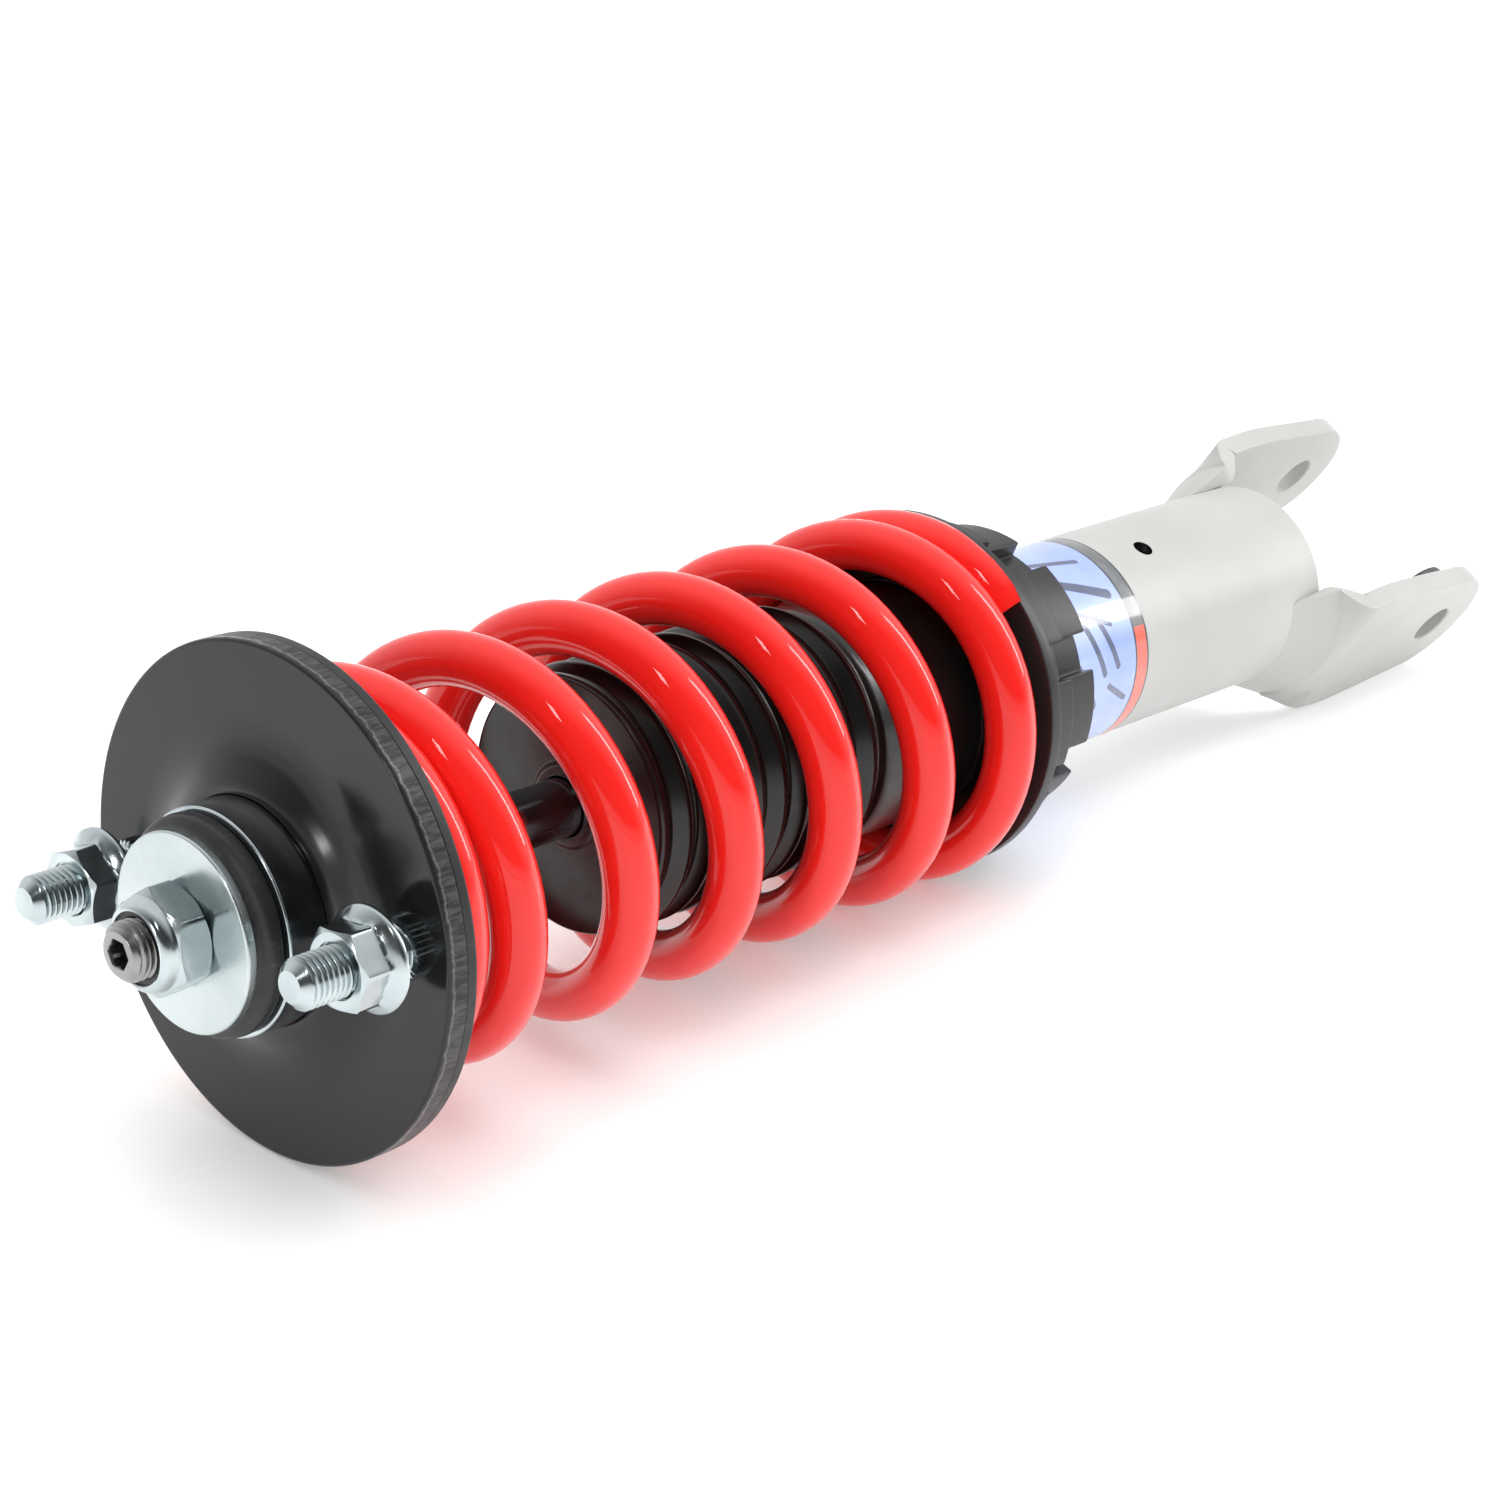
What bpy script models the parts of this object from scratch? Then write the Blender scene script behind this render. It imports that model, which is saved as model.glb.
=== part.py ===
"""Coilover: a spring and damper unit with a plate mount at one end and a bolt fork at the other.

The damper's axis is world X. x = 0 is the front face of the upper mount's plate, and the fork is at +X.
Angles round the axis ("clock" angles) start at the top (+Z) and go through the near side (-Y).
"""

import math

import bmesh
import bpy
from mathutils import Matrix

MM = 0.001
FACETS = 40
FIT_GAP = 0.1  # radial gap between pieces that stay together
RUN_GAP = 0.3  # radial gap between pieces that turn or slide
TOUCH = 0.05  # axial gap between faces that touch

# Upper mount
PLATE_R = 51.9
PLATE_T = 4.6
HUB_FOOT_R = 35.0
HUB_TOP_X = -3.6
BUSH_SHELL_R = 22.6
BUSH_SHELL_WALL = 1.6
BUSH_FRONT_X = -12.4
BUSH_BACK_X = 5.4
INNER_SLEEVE_R = 9.0
INSULATOR_T = 2.6
INSULATOR_BORE_R = 30.0
STUD_PCD_R = 40.0
STUD_CLOCK = 82.6
STUD_R = 5.0
STUD_TIP_X = -26.8
STUD_NUT_X = -7.6
STUD_HEAD_R = 7.5

# Rod and its top fixing
ROD_R = 6.25
ROD_THREAD_R = 5.9
ROD_TIP_X = -34.3
WASHER_R = 19.7
WASHER_T = 2.0
WASHER_FRONT_X = -19.9
LOCK_NUT_AF = 19.0
LOCK_NUT_L = 10.5

# Spring
SPRING_MEAN_R = 36.75
WIRE_R = 5.7
SPRING_PITCH = 29.93
SPRING_PHASE_X = 23.7  # where the wire crosses the top of the axis on turn 0
SPRING_TOP_X = 8.5
SEAT_X = 187.3
POINTS_PER_TURN = 18
# (turn, x) of the wire's centre over the closed ends; between turns 0 and 5 the pitch is even.
CLOSED_TOP = [(-1.12, 8.9), (-1.0, 11.9), (-0.9, 14.6), (-0.83, 15.5), (-0.6, 17.0), (-0.3, 19.2), (-0.12, 21.2)]
CLOSED_BOTTOM = [(5.12, 176.8), (5.28, 178.7), (5.6, 180.3), (5.8, 181.4), (5.9, 182.6), (6.0, 185.1), (6.125, 188.7)]

# Dust boot and bump stop
BOOT_X = 79.0
BOOT_DISC_R = 27.7
BOOT_CREST_R = 29.4
BOOT_ROOT_R = 26.5
BOOT_CUFF_R = 27.0
BOOT_BORE_R = 25.1
BOOT_FOLD_X = 82.8
BOOT_FOLD_PITCH = 7.0
BOOT_FOLDS = 9
BOOT_END_X = 184.0

# Spring perch and lock ring
PERCH_FLANGE_R = 41.3
PERCH_FLANGE_T = 3.4
PERCH_RING_R = 37.4
PERCH_END_X = 200.0
LOCK_RING_R = 34.0
LOCK_RING_X = 200.6
LOCK_RING_END_X = 212.0
NOTCHES = 8
NOTCH_W = 8.6
NOTCH_DEPTH = 3.5

# Damper body
BODY_R = 24.4
BODY_WALL = 2.2
BODY_TOP_X = 112.0
BODY_END_X = 315.5
LABEL_X = 212.4
LABEL_END_X = 244.7
LABEL_T = 0.15
PISTON_X = 158.0
FLOAT_X = 246.0
END_CAP_X = 304.0

# Fork
FORK_CLOCK = 301.6  # clock angle of the upper ear
FORK_GAP = 50.0
EAR_T = 5.5
EAR_ROOT_X = 304.0
EAR_BEND_X = 317.0
EAR_FLAT_X = 325.0
EAR_HOLE_X = 368.0
EAR_TIP_R = 16.5
EAR_WIDE_X = 336.0
EAR_WIDE = 20.0
EAR_ROOT_HALF = 17.0
BOLT_HOLE_R = 5.6
WELD_NUT_R = 11.25
WELD_NUT_T = 4.9

FINISHES = {
    "black_paint": ((0.035, 0.036, 0.038), 0.32, 0.2),
    "zinc": ((0.72, 0.75, 0.79), 0.25, 1.0),
    "rubber": ((0.018, 0.018, 0.019), 0.55, 0.0),
    "nylon": ((0.62, 0.62, 0.60), 0.5, 0.0),
    "rod_steel": ((0.30, 0.32, 0.34), 0.15, 1.0),
    "machined_steel": ((0.45, 0.46, 0.47), 0.35, 1.0),
    "red_paint": ((0.80, 0.035, 0.03), 0.18, 0.0),
    "black_anodised": ((0.06, 0.063, 0.067), 0.35, 0.6),
    "silver_paint": ((0.66, 0.66, 0.64), 0.35, 0.2),
    "blue_film": ((0.30, 0.42, 0.86), 0.2, 0.0),
    "foam": ((0.55, 0.45, 0.18), 0.8, 0.0),
}


def clear_scene():
    for obj in list(bpy.data.objects):
        bpy.data.objects.remove(obj)


def new_collection(name, hidden=False):
    collection = bpy.data.collections.new(name)
    bpy.context.scene.collection.children.link(collection)
    collection.hide_render = hidden
    return collection


def make_material(name):
    colour, roughness, metallic = FINISHES[name]
    material = bpy.data.materials.get(name) or bpy.data.materials.new(name)
    material.use_nodes = True
    shader = material.node_tree.nodes["Principled BSDF"]
    shader.inputs["Base Color"].default_value = (*colour, 1.0)
    shader.inputs["Roughness"].default_value = roughness
    shader.inputs["Metallic"].default_value = metallic
    return material


def place(obj, body, finish):
    """Puts a sub-part in the object's collection, under its body's empty, with its finish."""
    parts.objects.link(obj)
    obj.parent = bodies[body]
    obj.data.materials.append(make_material(finish))
    return obj


def add_body(name):
    """An empty on the damper's axis that one rigid body's pieces hang from."""
    empty = bpy.data.objects.new(name + "_pivot", None)
    parts.objects.link(empty)
    empty.empty_display_size = 0.02
    bodies[name] = empty


def signed_area(points):
    total = 0.0
    for (x0, r0), (x1, r1) in zip(points, points[1:] + points[:1]):
        total += x0 * r1 - x1 * r0
    return total / 2


def turned_mesh(name, profile, steps=FACETS):
    """An object with a Screw modifier round X. The (x, r) profile closes on itself, or on the axis."""
    on_axis = profile[0][1] == 0
    points = profile if signed_area(profile) > 0 else profile[::-1]
    shape = bmesh.new()
    verts = [shape.verts.new((x * MM, 0, r * MM)) for x, r in points]
    pairs = list(zip(verts, verts[1:]))
    if on_axis:
        pairs = [pair for pair in pairs if pair[0].co.z > 0 or pair[1].co.z > 0]
    else:
        pairs.append((verts[-1], verts[0]))
    for start, end in pairs:
        shape.edges.new((start, end))
    mesh = bpy.data.meshes.new(name)
    shape.to_mesh(mesh)
    shape.free()
    obj = bpy.data.objects.new(name, mesh)
    screw = obj.modifiers.new("turn", "SCREW")
    screw.axis = "X"
    screw.steps = steps
    screw.render_steps = steps
    screw.use_merge_vertices = True
    screw.merge_threshold = 0.00001
    screw.use_smooth_shade = True
    return obj


def turned(name, body, finish, profile, steps=FACETS):
    return place(turned_mesh(name, profile, steps), body, finish)


def ring(name, body, finish, x0, x1, inner, outer, steps=FACETS):
    """A plain turned ring or tube between two stations."""
    return turned(name, body, finish, [(x0, inner), (x1, inner), (x1, outer), (x0, outer)], steps)


def cutter(name, mesh):
    """A hidden helper for a Boolean."""
    obj = bpy.data.objects.new(name, mesh)
    tools.objects.link(obj)
    obj.hide_render = True
    obj.display_type = "WIRE"
    return obj


def along_x(radius, length, sides):
    """A cylinder or prism mesh on the X axis, centred on the origin."""
    shape = bmesh.new()
    bmesh.ops.create_cone(
        shape, cap_ends=True, segments=sides, radius1=radius * MM, radius2=radius * MM, depth=length * MM
    )
    bmesh.ops.rotate(shape, verts=shape.verts, matrix=Matrix.Rotation(math.pi / 2, 3, "Y"))
    mesh = bpy.data.meshes.new("prism")
    shape.to_mesh(mesh)
    shape.free()
    return mesh


def boolean(obj, operation, tool):
    change = obj.modifiers.new(tool.name, "BOOLEAN")
    change.operation = operation
    change.solver = "EXACT"
    change.object = tool


def clock_point(radius, clock):
    angle = math.radians(clock)
    return (0.0, -radius * math.sin(angle) * MM, radius * math.cos(angle) * MM)


def cut_hole(obj, name, radius, x0, x1, offset=(0.0, 0.0, 0.0), sides=24):
    """A round hole along X, cut through an object."""
    tool = cutter(name, along_x(radius, x1 - x0, sides))
    tool.location = (offset[0] + (x0 + x1) / 2 * MM, offset[1], offset[2])
    boolean(obj, "DIFFERENCE", tool)


def hex_nut(name, body, finish, flats, bore, x0, x1, offset=(0.0, 0.0, 0.0)):
    """A hexagon with a round bore, standing between two stations."""
    corner = flats / math.sqrt(3)
    obj = place(bpy.data.objects.new(name, along_x(corner, x1 - x0, 6)), body, finish)
    obj.location = (offset[0] + (x0 + x1) / 2 * MM, offset[1], offset[2])
    cut_hole(obj, name + "_bore", bore, x0 - 5, x1 + 5, offset)
    return obj


def cut_notches(obj, name, outer, x0, x1):
    """Square notches round a ring's rim for a hook spanner, cut by one joined helper."""
    shape = bmesh.new()
    for index in range(NOTCHES):
        block = bmesh.ops.create_cube(shape, size=1.0)["verts"]
        bmesh.ops.scale(shape, verts=block, vec=((x1 - x0) * MM, NOTCH_W * MM, 2 * NOTCH_DEPTH * MM))
        bmesh.ops.translate(shape, verts=block, vec=((x0 + x1) / 2 * MM, 0, outer * MM))
        turn = Matrix.Rotation(2 * math.pi * (index + 0.5) / NOTCHES, 3, "X")
        bmesh.ops.rotate(shape, verts=block, matrix=turn)
    mesh = bpy.data.meshes.new(name)
    shape.to_mesh(mesh)
    shape.free()
    boolean(obj, "DIFFERENCE", cutter(name, mesh))


def as_mesh(curve_obj, name):
    """The solid of a curve object, with its caps welded on."""
    bpy.context.view_layer.update()
    graph = bpy.context.evaluated_depsgraph_get()
    mesh = bpy.data.meshes.new_from_object(curve_obj.evaluated_get(graph))
    shape = bmesh.new()
    shape.from_mesh(mesh)
    bmesh.ops.remove_doubles(shape, verts=shape.verts, dist=0.000001)
    shape.to_mesh(mesh)
    shape.free()
    mesh.name = name
    solid = bpy.data.objects.new(name, mesh)
    solid.matrix_world = curve_obj.matrix_world
    bpy.data.objects.remove(curve_obj)
    return solid


# ---- Upper mount ----


def build_plate():
    hub_bore = BUSH_SHELL_R + FIT_GAP
    profile = [
        (0.5, PLATE_R),
        (0.0, PLATE_R - 0.5),
        (0.0, HUB_FOOT_R),
        (-0.5, HUB_FOOT_R - 3.5),
        (-1.8, HUB_FOOT_R - 7.0),
        (-3.1, HUB_FOOT_R - 9.5),
        (HUB_TOP_X, hub_bore + 0.5),
        (HUB_TOP_X, hub_bore),
        (HUB_TOP_X + PLATE_T, hub_bore),
        (HUB_TOP_X + PLATE_T + 0.6, hub_bore + 2.0),
        (PLATE_T, INSULATOR_BORE_R + 1.0),
        (PLATE_T, PLATE_R - 0.5),
        (PLATE_T - 0.5, PLATE_R),
    ]
    plate = turned("upper_mount_plate", "mount", "black_paint", profile)
    insulator = ring(
        "mount_insulator", "mount", "rubber", PLATE_T + TOUCH, PLATE_T + INSULATOR_T, INSULATOR_BORE_R, PLATE_R - 0.1
    )
    for side, clock in (("left", STUD_CLOCK), ("right", STUD_CLOCK + 180)):
        centre = clock_point(STUD_PCD_R, clock)
        cut_hole(plate, "plate_hole_" + side, STUD_R + 0.9, -6, 12, centre)
        cut_hole(insulator, "insulator_hole_" + side, STUD_HEAD_R + 0.5, -6, 14, centre)
        build_stud(side, centre)


def build_stud(side, centre):
    """A press-in stud: threaded shank, knurled root through the plate, thin head behind it."""
    head_x = PLATE_T + TOUCH
    profile = [
        (STUD_TIP_X, 0),
        (STUD_TIP_X, STUD_R - 1.2),
        (STUD_TIP_X + 1.2, STUD_R),
        (-2.0, STUD_R),
        (-1.8, STUD_R + 0.6),
        (head_x, STUD_R + 0.6),
        (head_x, STUD_HEAD_R),
        (head_x + 2.0, STUD_HEAD_R),
        (head_x + 2.0, 0),
    ]
    turned("mount_stud_" + side, "mount", "zinc", profile, 24).location = centre

    flange = [
        (STUD_NUT_X, 0),
        (STUD_NUT_X, 10.5),
        (STUD_NUT_X - 1.2, 10.3),
        (STUD_NUT_X - 3.0, 8.4),
        (STUD_NUT_X - 3.0, 0),
    ]
    nut = turned("stud_nut_" + side, "mount", "zinc", flange, 24)
    nut.location = centre
    corner = 15.0 / math.sqrt(3)
    block = cutter("stud_nut_block_" + side, along_x(corner, 7.3, 6))
    block.location = (centre[0] + (STUD_NUT_X - 5.05) * MM, centre[1], centre[2])
    boolean(nut, "UNION", block)
    cut_hole(nut, "stud_nut_bore_" + side, STUD_R + RUN_GAP, -25, 0, centre)


def build_bush():
    shell_bore = BUSH_SHELL_R - BUSH_SHELL_WALL
    ring("bush_outer_sleeve", "mount", "zinc", BUSH_FRONT_X, BUSH_BACK_X, shell_bore, BUSH_SHELL_R)
    rubber_r = shell_bore - FIT_GAP
    sleeve_r = INNER_SLEEVE_R + FIT_GAP
    washer_back = WASHER_FRONT_X + WASHER_T
    upper = [
        (washer_back + TOUCH, sleeve_r),
        (washer_back + TOUCH, 19.3),
        (washer_back + 1.0, 20.0),
        (washer_back + 1.8, 21.5),
        (BUSH_FRONT_X - 0.6, 21.9),
        (BUSH_FRONT_X - 0.2, rubber_r),
        (-4.0, rubber_r),
        (-4.0, sleeve_r),
    ]
    turned("upper_rubber_bush", "mount", "rubber", upper)
    ring("lower_rubber_bush", "mount", "rubber", -3.8, BUSH_BACK_X - 1.0, sleeve_r, rubber_r)
    sleeve_bore = ROD_R + RUN_GAP
    ring("bush_inner_sleeve", "mount", "zinc", washer_back + TOUCH, BUSH_BACK_X, sleeve_bore, INNER_SLEEVE_R, 32)


def build_top_fixing():
    thread_bore = ROD_THREAD_R + RUN_GAP
    ring("top_washer", "mount", "zinc", WASHER_FRONT_X, WASHER_FRONT_X + WASHER_T, thread_bore, WASHER_R)
    ring("lower_washer", "mount", "zinc", BUSH_BACK_X + TOUCH, BUSH_BACK_X + 2.0, thread_bore, 15.5, 32)
    collar_x = WASHER_FRONT_X - 7.4
    front_x = WASHER_FRONT_X - LOCK_NUT_L
    collar = [
        (WASHER_FRONT_X - 1.0, 0),
        (WASHER_FRONT_X - 1.0, 8.6),
        (collar_x, 9.1),
        (front_x + 1.0, 8.9),
        (front_x, 8.0),
        (front_x, 0),
    ]
    nut = turned("rod_lock_nut", "mount", "zinc", collar, 36)
    block = cutter("rod_lock_nut_block", along_x(LOCK_NUT_AF / math.sqrt(3), 7.3, 6))
    block.location = ((WASHER_FRONT_X - TOUCH - 3.65) * MM, 0, 0)
    boolean(nut, "UNION", block)
    cut_hole(nut, "rod_lock_nut_bore", thread_bore, front_x - 5, WASHER_FRONT_X + 5, sides=36)
    cut_hole(nut, "rod_lock_nut_groove", 8.1, front_x + 0.5, collar_x - 0.2, sides=36)
    cut_hole(nut, "rod_lock_nut_mouth", 7.2, front_x - 3, front_x + 1, sides=36)
    ring("nut_nylon_insert", "mount", "nylon", front_x + 0.6, collar_x - 0.3, thread_bore, 8.0, 36)


def build_rod():
    shoulder_x = BUSH_BACK_X + 2.1
    profile = [
        (ROD_TIP_X, 0),
        (ROD_TIP_X, ROD_THREAD_R - 1.0),
        (ROD_TIP_X + 1.0, ROD_THREAD_R),
        (shoulder_x, ROD_THREAD_R),
        (shoulder_x, ROD_R),
        (PISTON_X, ROD_R),
        (PISTON_X, 4.9),
        (PISTON_X + 17.0, 4.9),
        (PISTON_X + 17.0, 0),
    ]
    rod = turned("piston_rod", "mount", "rod_steel", profile, 32)
    socket = cutter("rod_key_socket", along_x(5.0 / math.sqrt(3), 12.0, 6))
    socket.location = (ROD_TIP_X * MM, 0, 0)
    boolean(rod, "DIFFERENCE", socket)


def build_piston():
    bore_r = BODY_R - BODY_WALL
    land_r = bore_r - 0.7
    groove_r = land_r - 0.7
    profile = [
        (PISTON_X + TOUCH, 5.0),
        (PISTON_X + TOUCH, land_r),
        (PISTON_X + 2.0, land_r),
        (PISTON_X + 2.0, groove_r),
        (PISTON_X + 7.0, groove_r),
        (PISTON_X + 7.0, land_r),
        (PISTON_X + 9.0, land_r),
        (PISTON_X + 9.0, 5.0),
    ]
    turned("piston", "mount", "machined_steel", profile)
    ring(
        "piston_band", "mount", "nylon", PISTON_X + 2.1, PISTON_X + 6.9, groove_r + FIT_GAP, bore_r - RUN_GAP
    )
    hex_nut("piston_nut", "mount", "zinc", 17.0, 5.1, PISTON_X + 9.1, PISTON_X + 15.1)


# ---- Spring and its covers ----


def wire_station(turn):
    """x of the wire's centre at a turn: cubic curves through the stations, straight where the pitch is even."""
    even = [(float(n), SPRING_PHASE_X + SPRING_PITCH * n) for n in (0, 1, 4, 5)]
    knots = CLOSED_TOP + even + CLOSED_BOTTOM
    slopes = []
    for index in range(len(knots)):
        before = knots[max(index - 1, 0)]
        after = knots[min(index + 1, len(knots) - 1)]
        slopes.append((after[1] - before[1]) / (after[0] - before[0]))
    for index in range(len(knots) - 1):
        (n0, x0), (n1, x1) = knots[index], knots[index + 1]
        if turn <= n1 or index == len(knots) - 2:
            break
    span = n1 - n0
    t = (turn - n0) / span
    ease = t * t * (3 - 2 * t)
    start_pull = t * (1 - t) ** 2 * span * slopes[index]
    end_pull = t * t * (1 - t) * span * slopes[index + 1]
    return x0 + (x1 - x0) * ease + start_pull - end_pull


def build_spring():
    first, last = CLOSED_TOP[0][0], CLOSED_BOTTOM[-1][0]
    count = round((last - first) * POINTS_PER_TURN)
    curve = bpy.data.curves.new("coil_path", "CURVE")
    curve.dimensions = "3D"
    curve.bevel_depth = WIRE_R * MM
    curve.bevel_resolution = 2
    curve.use_fill_caps = True
    path = curve.splines.new("POLY")
    path.points.add(count)
    for index, point in enumerate(path.points):
        turn = first + (last - first) * index / count
        _, y, z = clock_point(SPRING_MEAN_R, 360 * turn)
        point.co = (wire_station(turn) * MM, y, z, 1)
    coil = bpy.data.objects.new("coil_path", curve)
    tools.objects.link(coil)
    spring = place(as_mesh(coil, "coil_spring"), "spring_seat", "red_paint")
    for end, ground_x, out in (("top", SPRING_TOP_X, -1), ("bottom", SEAT_X - TOUCH, 1)):
        grinder = cutter("ground_end_" + end, along_x(60.0, 20.0, 12))
        grinder.location = ((ground_x + 10.0 * out) * MM, 0, 0)
        boolean(spring, "DIFFERENCE", grinder)


def build_spring_covers():
    ring(
        "spring_slip_washer", "spring_top", "nylon", PLATE_T + INSULATOR_T + TOUCH, SPRING_TOP_X - TOUCH, 30.2, 43.2
    )
    rod_bore = ROD_R + RUN_GAP
    outside = [(BOOT_X - 1.4, rod_bore), (BOOT_X - 1.4, 8.6), (BOOT_X, 9.2), (BOOT_X, BOOT_DISC_R - 0.5)]
    outside += [(BOOT_X + 0.5, BOOT_DISC_R), (BOOT_FOLD_X - 1.0, BOOT_DISC_R)]
    for fold in range(BOOT_FOLDS):
        start = BOOT_FOLD_X + fold * BOOT_FOLD_PITCH
        outside += [(start, BOOT_ROOT_R), (start + BOOT_FOLD_PITCH / 2, BOOT_CREST_R)]
    outside += [(BOOT_FOLD_X + BOOT_FOLDS * BOOT_FOLD_PITCH, BOOT_ROOT_R)]
    outside += [(BOOT_FOLD_X + BOOT_FOLDS * BOOT_FOLD_PITCH + 2.0, BOOT_CUFF_R), (BOOT_END_X, BOOT_CUFF_R)]
    inside = [(BOOT_END_X, BOOT_BORE_R), (BOOT_X + 2.0, BOOT_BORE_R), (BOOT_X + 2.0, rod_bore)]
    turned("dust_boot", "spring_seat", "rubber", outside + inside, 32)
    stop = [
        (BOOT_X + 2.2, rod_bore),
        (BOOT_X + 2.2, 15.0),
        (BOOT_X + 11.0, 17.5),
        (BOOT_X + 14.0, 15.0),
        (BOOT_X + 17.0, 17.0),
        (BOOT_X + 31.0, 13.0),
        (BOOT_X + 31.0, rod_bore),
    ]
    turned("bump_stop", "spring_seat", "foam", stop, 24)


def build_perch():
    bore = BODY_R + RUN_GAP
    flange_back = SEAT_X + PERCH_FLANGE_T
    profile = [
        (SEAT_X, bore),
        (SEAT_X, PERCH_FLANGE_R - 0.5),
        (SEAT_X + 0.5, PERCH_FLANGE_R),
        (flange_back - 0.5, PERCH_FLANGE_R),
        (flange_back, PERCH_FLANGE_R - 0.5),
        (flange_back, PERCH_RING_R),
        (PERCH_END_X - 0.8, PERCH_RING_R),
        (PERCH_END_X, PERCH_RING_R - 0.8),
        (PERCH_END_X, bore),
    ]
    perch = turned("spring_perch", "adjuster", "black_anodised", profile)
    cut_notches(perch, "perch_notches", PERCH_RING_R, flange_back, PERCH_END_X + 4)
    lock_profile = [
        (LOCK_RING_X, bore),
        (LOCK_RING_X, LOCK_RING_R - 0.8),
        (LOCK_RING_X + 0.8, LOCK_RING_R),
        (LOCK_RING_END_X - 0.8, LOCK_RING_R),
        (LOCK_RING_END_X, LOCK_RING_R - 0.8),
        (LOCK_RING_END_X, bore),
    ]
    lock = turned("lock_ring", "lock", "black_anodised", lock_profile)
    cut_notches(lock, "lock_ring_notches", LOCK_RING_R, LOCK_RING_X - 4, LOCK_RING_END_X + 4)


# ---- Damper ----


def build_damper():
    bore_r = BODY_R - BODY_WALL
    fitted_r = bore_r - FIT_GAP
    rod_bore = ROD_R + RUN_GAP
    ring("damper_body", "damper", "silver_paint", BODY_TOP_X, BODY_END_X, bore_r, BODY_R)
    ring("gland_nut", "damper", "black_anodised", BODY_TOP_X + 0.3, BODY_TOP_X + 5.0, rod_bore, fitted_r)
    guide_x = BODY_TOP_X + 5.1
    guide = [
        (guide_x, 11.0),
        (guide_x, fitted_r),
        (guide_x + 14.0, fitted_r),
        (guide_x + 14.0, rod_bore),
        (guide_x + 5.0, rod_bore),
        (guide_x + 5.0, 11.0),
    ]
    turned("rod_guide", "damper", "machined_steel", guide)
    ring("rod_seal", "damper", "rubber", guide_x + 0.2, guide_x + 4.9, rod_bore, 11.0 - FIT_GAP, 32)
    ring("body_label", "damper", "blue_film", LABEL_X, LABEL_END_X, BODY_R + 0.03, BODY_R + 0.03 + LABEL_T)
    groove_r = bore_r - 2.2
    floating = [
        (FLOAT_X, 0),
        (FLOAT_X, fitted_r),
        (FLOAT_X + 6.0, fitted_r),
        (FLOAT_X + 6.0, groove_r),
        (FLOAT_X + 9.0, groove_r),
        (FLOAT_X + 9.0, fitted_r),
        (FLOAT_X + 15.0, fitted_r),
        (FLOAT_X + 15.0, 0),
    ]
    turned("floating_piston", "damper", "machined_steel", floating)
    ring(
        "floating_piston_oring", "damper", "rubber", FLOAT_X + 6.1, FLOAT_X + 8.9, groove_r + FIT_GAP, bore_r - 0.05
    )
    cap = [
        (END_CAP_X, 0),
        (END_CAP_X, fitted_r),
        (END_CAP_X + 8.0, fitted_r),
        (END_CAP_X + 8.0, 0),
    ]
    turned("lower_end_cap", "damper", "silver_paint", cap)


# ---- Fork ----


def ear_half_width(x):
    """Half the ear's width: root, shoulder, straight taper, then the round tip."""
    if x <= EAR_WIDE_X:
        share = (x - EAR_ROOT_X) / (EAR_WIDE_X - EAR_ROOT_X)
        return EAR_ROOT_HALF + (EAR_WIDE - EAR_ROOT_HALF) * share
    if x <= EAR_HOLE_X:
        share = (x - EAR_WIDE_X) / (EAR_HOLE_X - EAR_WIDE_X)
        return EAR_WIDE + (EAR_TIP_R - EAR_WIDE) * share
    return math.sqrt(max(EAR_TIP_R**2 - (x - EAR_HOLE_X) ** 2, 0.0))


def ear_offset(x, across):
    """Distance of the ear's middle surface from the axis: round the tube at the root, flat beyond the bend."""
    middle_r = BODY_R + RUN_GAP + EAR_T / 2
    saddle = math.sqrt(middle_r**2 - across**2)
    flat = FORK_GAP / 2 + EAR_T / 2
    t = min(max((x - EAR_BEND_X) / (EAR_FLAT_X - EAR_BEND_X), 0.0), 1.0)
    ease = t * t * (3 - 2 * t)
    return saddle * (1 - ease) + flat * ease


def build_ear(name, clock):
    """One bent plate: a sheet with Solidify, root on the tube, flat at the bolt."""
    stations = [EAR_ROOT_X, 311.0, EAR_BEND_X, 319.5, 322.0, EAR_FLAT_X, EAR_WIDE_X, 352.0, EAR_HOLE_X]
    stations += [EAR_HOLE_X + EAR_TIP_R * math.sin(math.radians(a)) for a in (18, 36, 52, 66, 78)]
    columns = 8
    sheet = bmesh.new()
    rows = []
    for x in stations:
        half = ear_half_width(x)
        row = []
        for column in range(columns + 1):
            across = half * (2 * column / columns - 1)
            row.append(sheet.verts.new((x * MM, across * MM, ear_offset(x, across) * MM)))
        rows.append(row)
    for first, second in zip(rows, rows[1:]):
        for column in range(columns):
            sheet.faces.new((first[column], second[column], second[column + 1], first[column + 1]))
    mesh = bpy.data.meshes.new(name)
    sheet.to_mesh(mesh)
    sheet.free()
    ear = place(bpy.data.objects.new(name, mesh), "damper", "silver_paint")
    plate = ear.modifiers.new("plate", "SOLIDIFY")
    plate.thickness = EAR_T * MM
    plate.offset = 0
    turn = math.radians(clock)
    ear.rotation_euler.x = turn
    bolt = cutter(name + "_bolt_hole", along_x(BOLT_HOLE_R, 80.0, 24))
    bolt.matrix_world = (
        Matrix.Rotation(turn, 4, "X")
        @ Matrix.Translation((EAR_HOLE_X * MM, 0, FORK_GAP / 2 * MM))
        @ Matrix.Rotation(math.pi / 2, 4, "Y")
    )
    boolean(ear, "DIFFERENCE", bolt)


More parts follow.
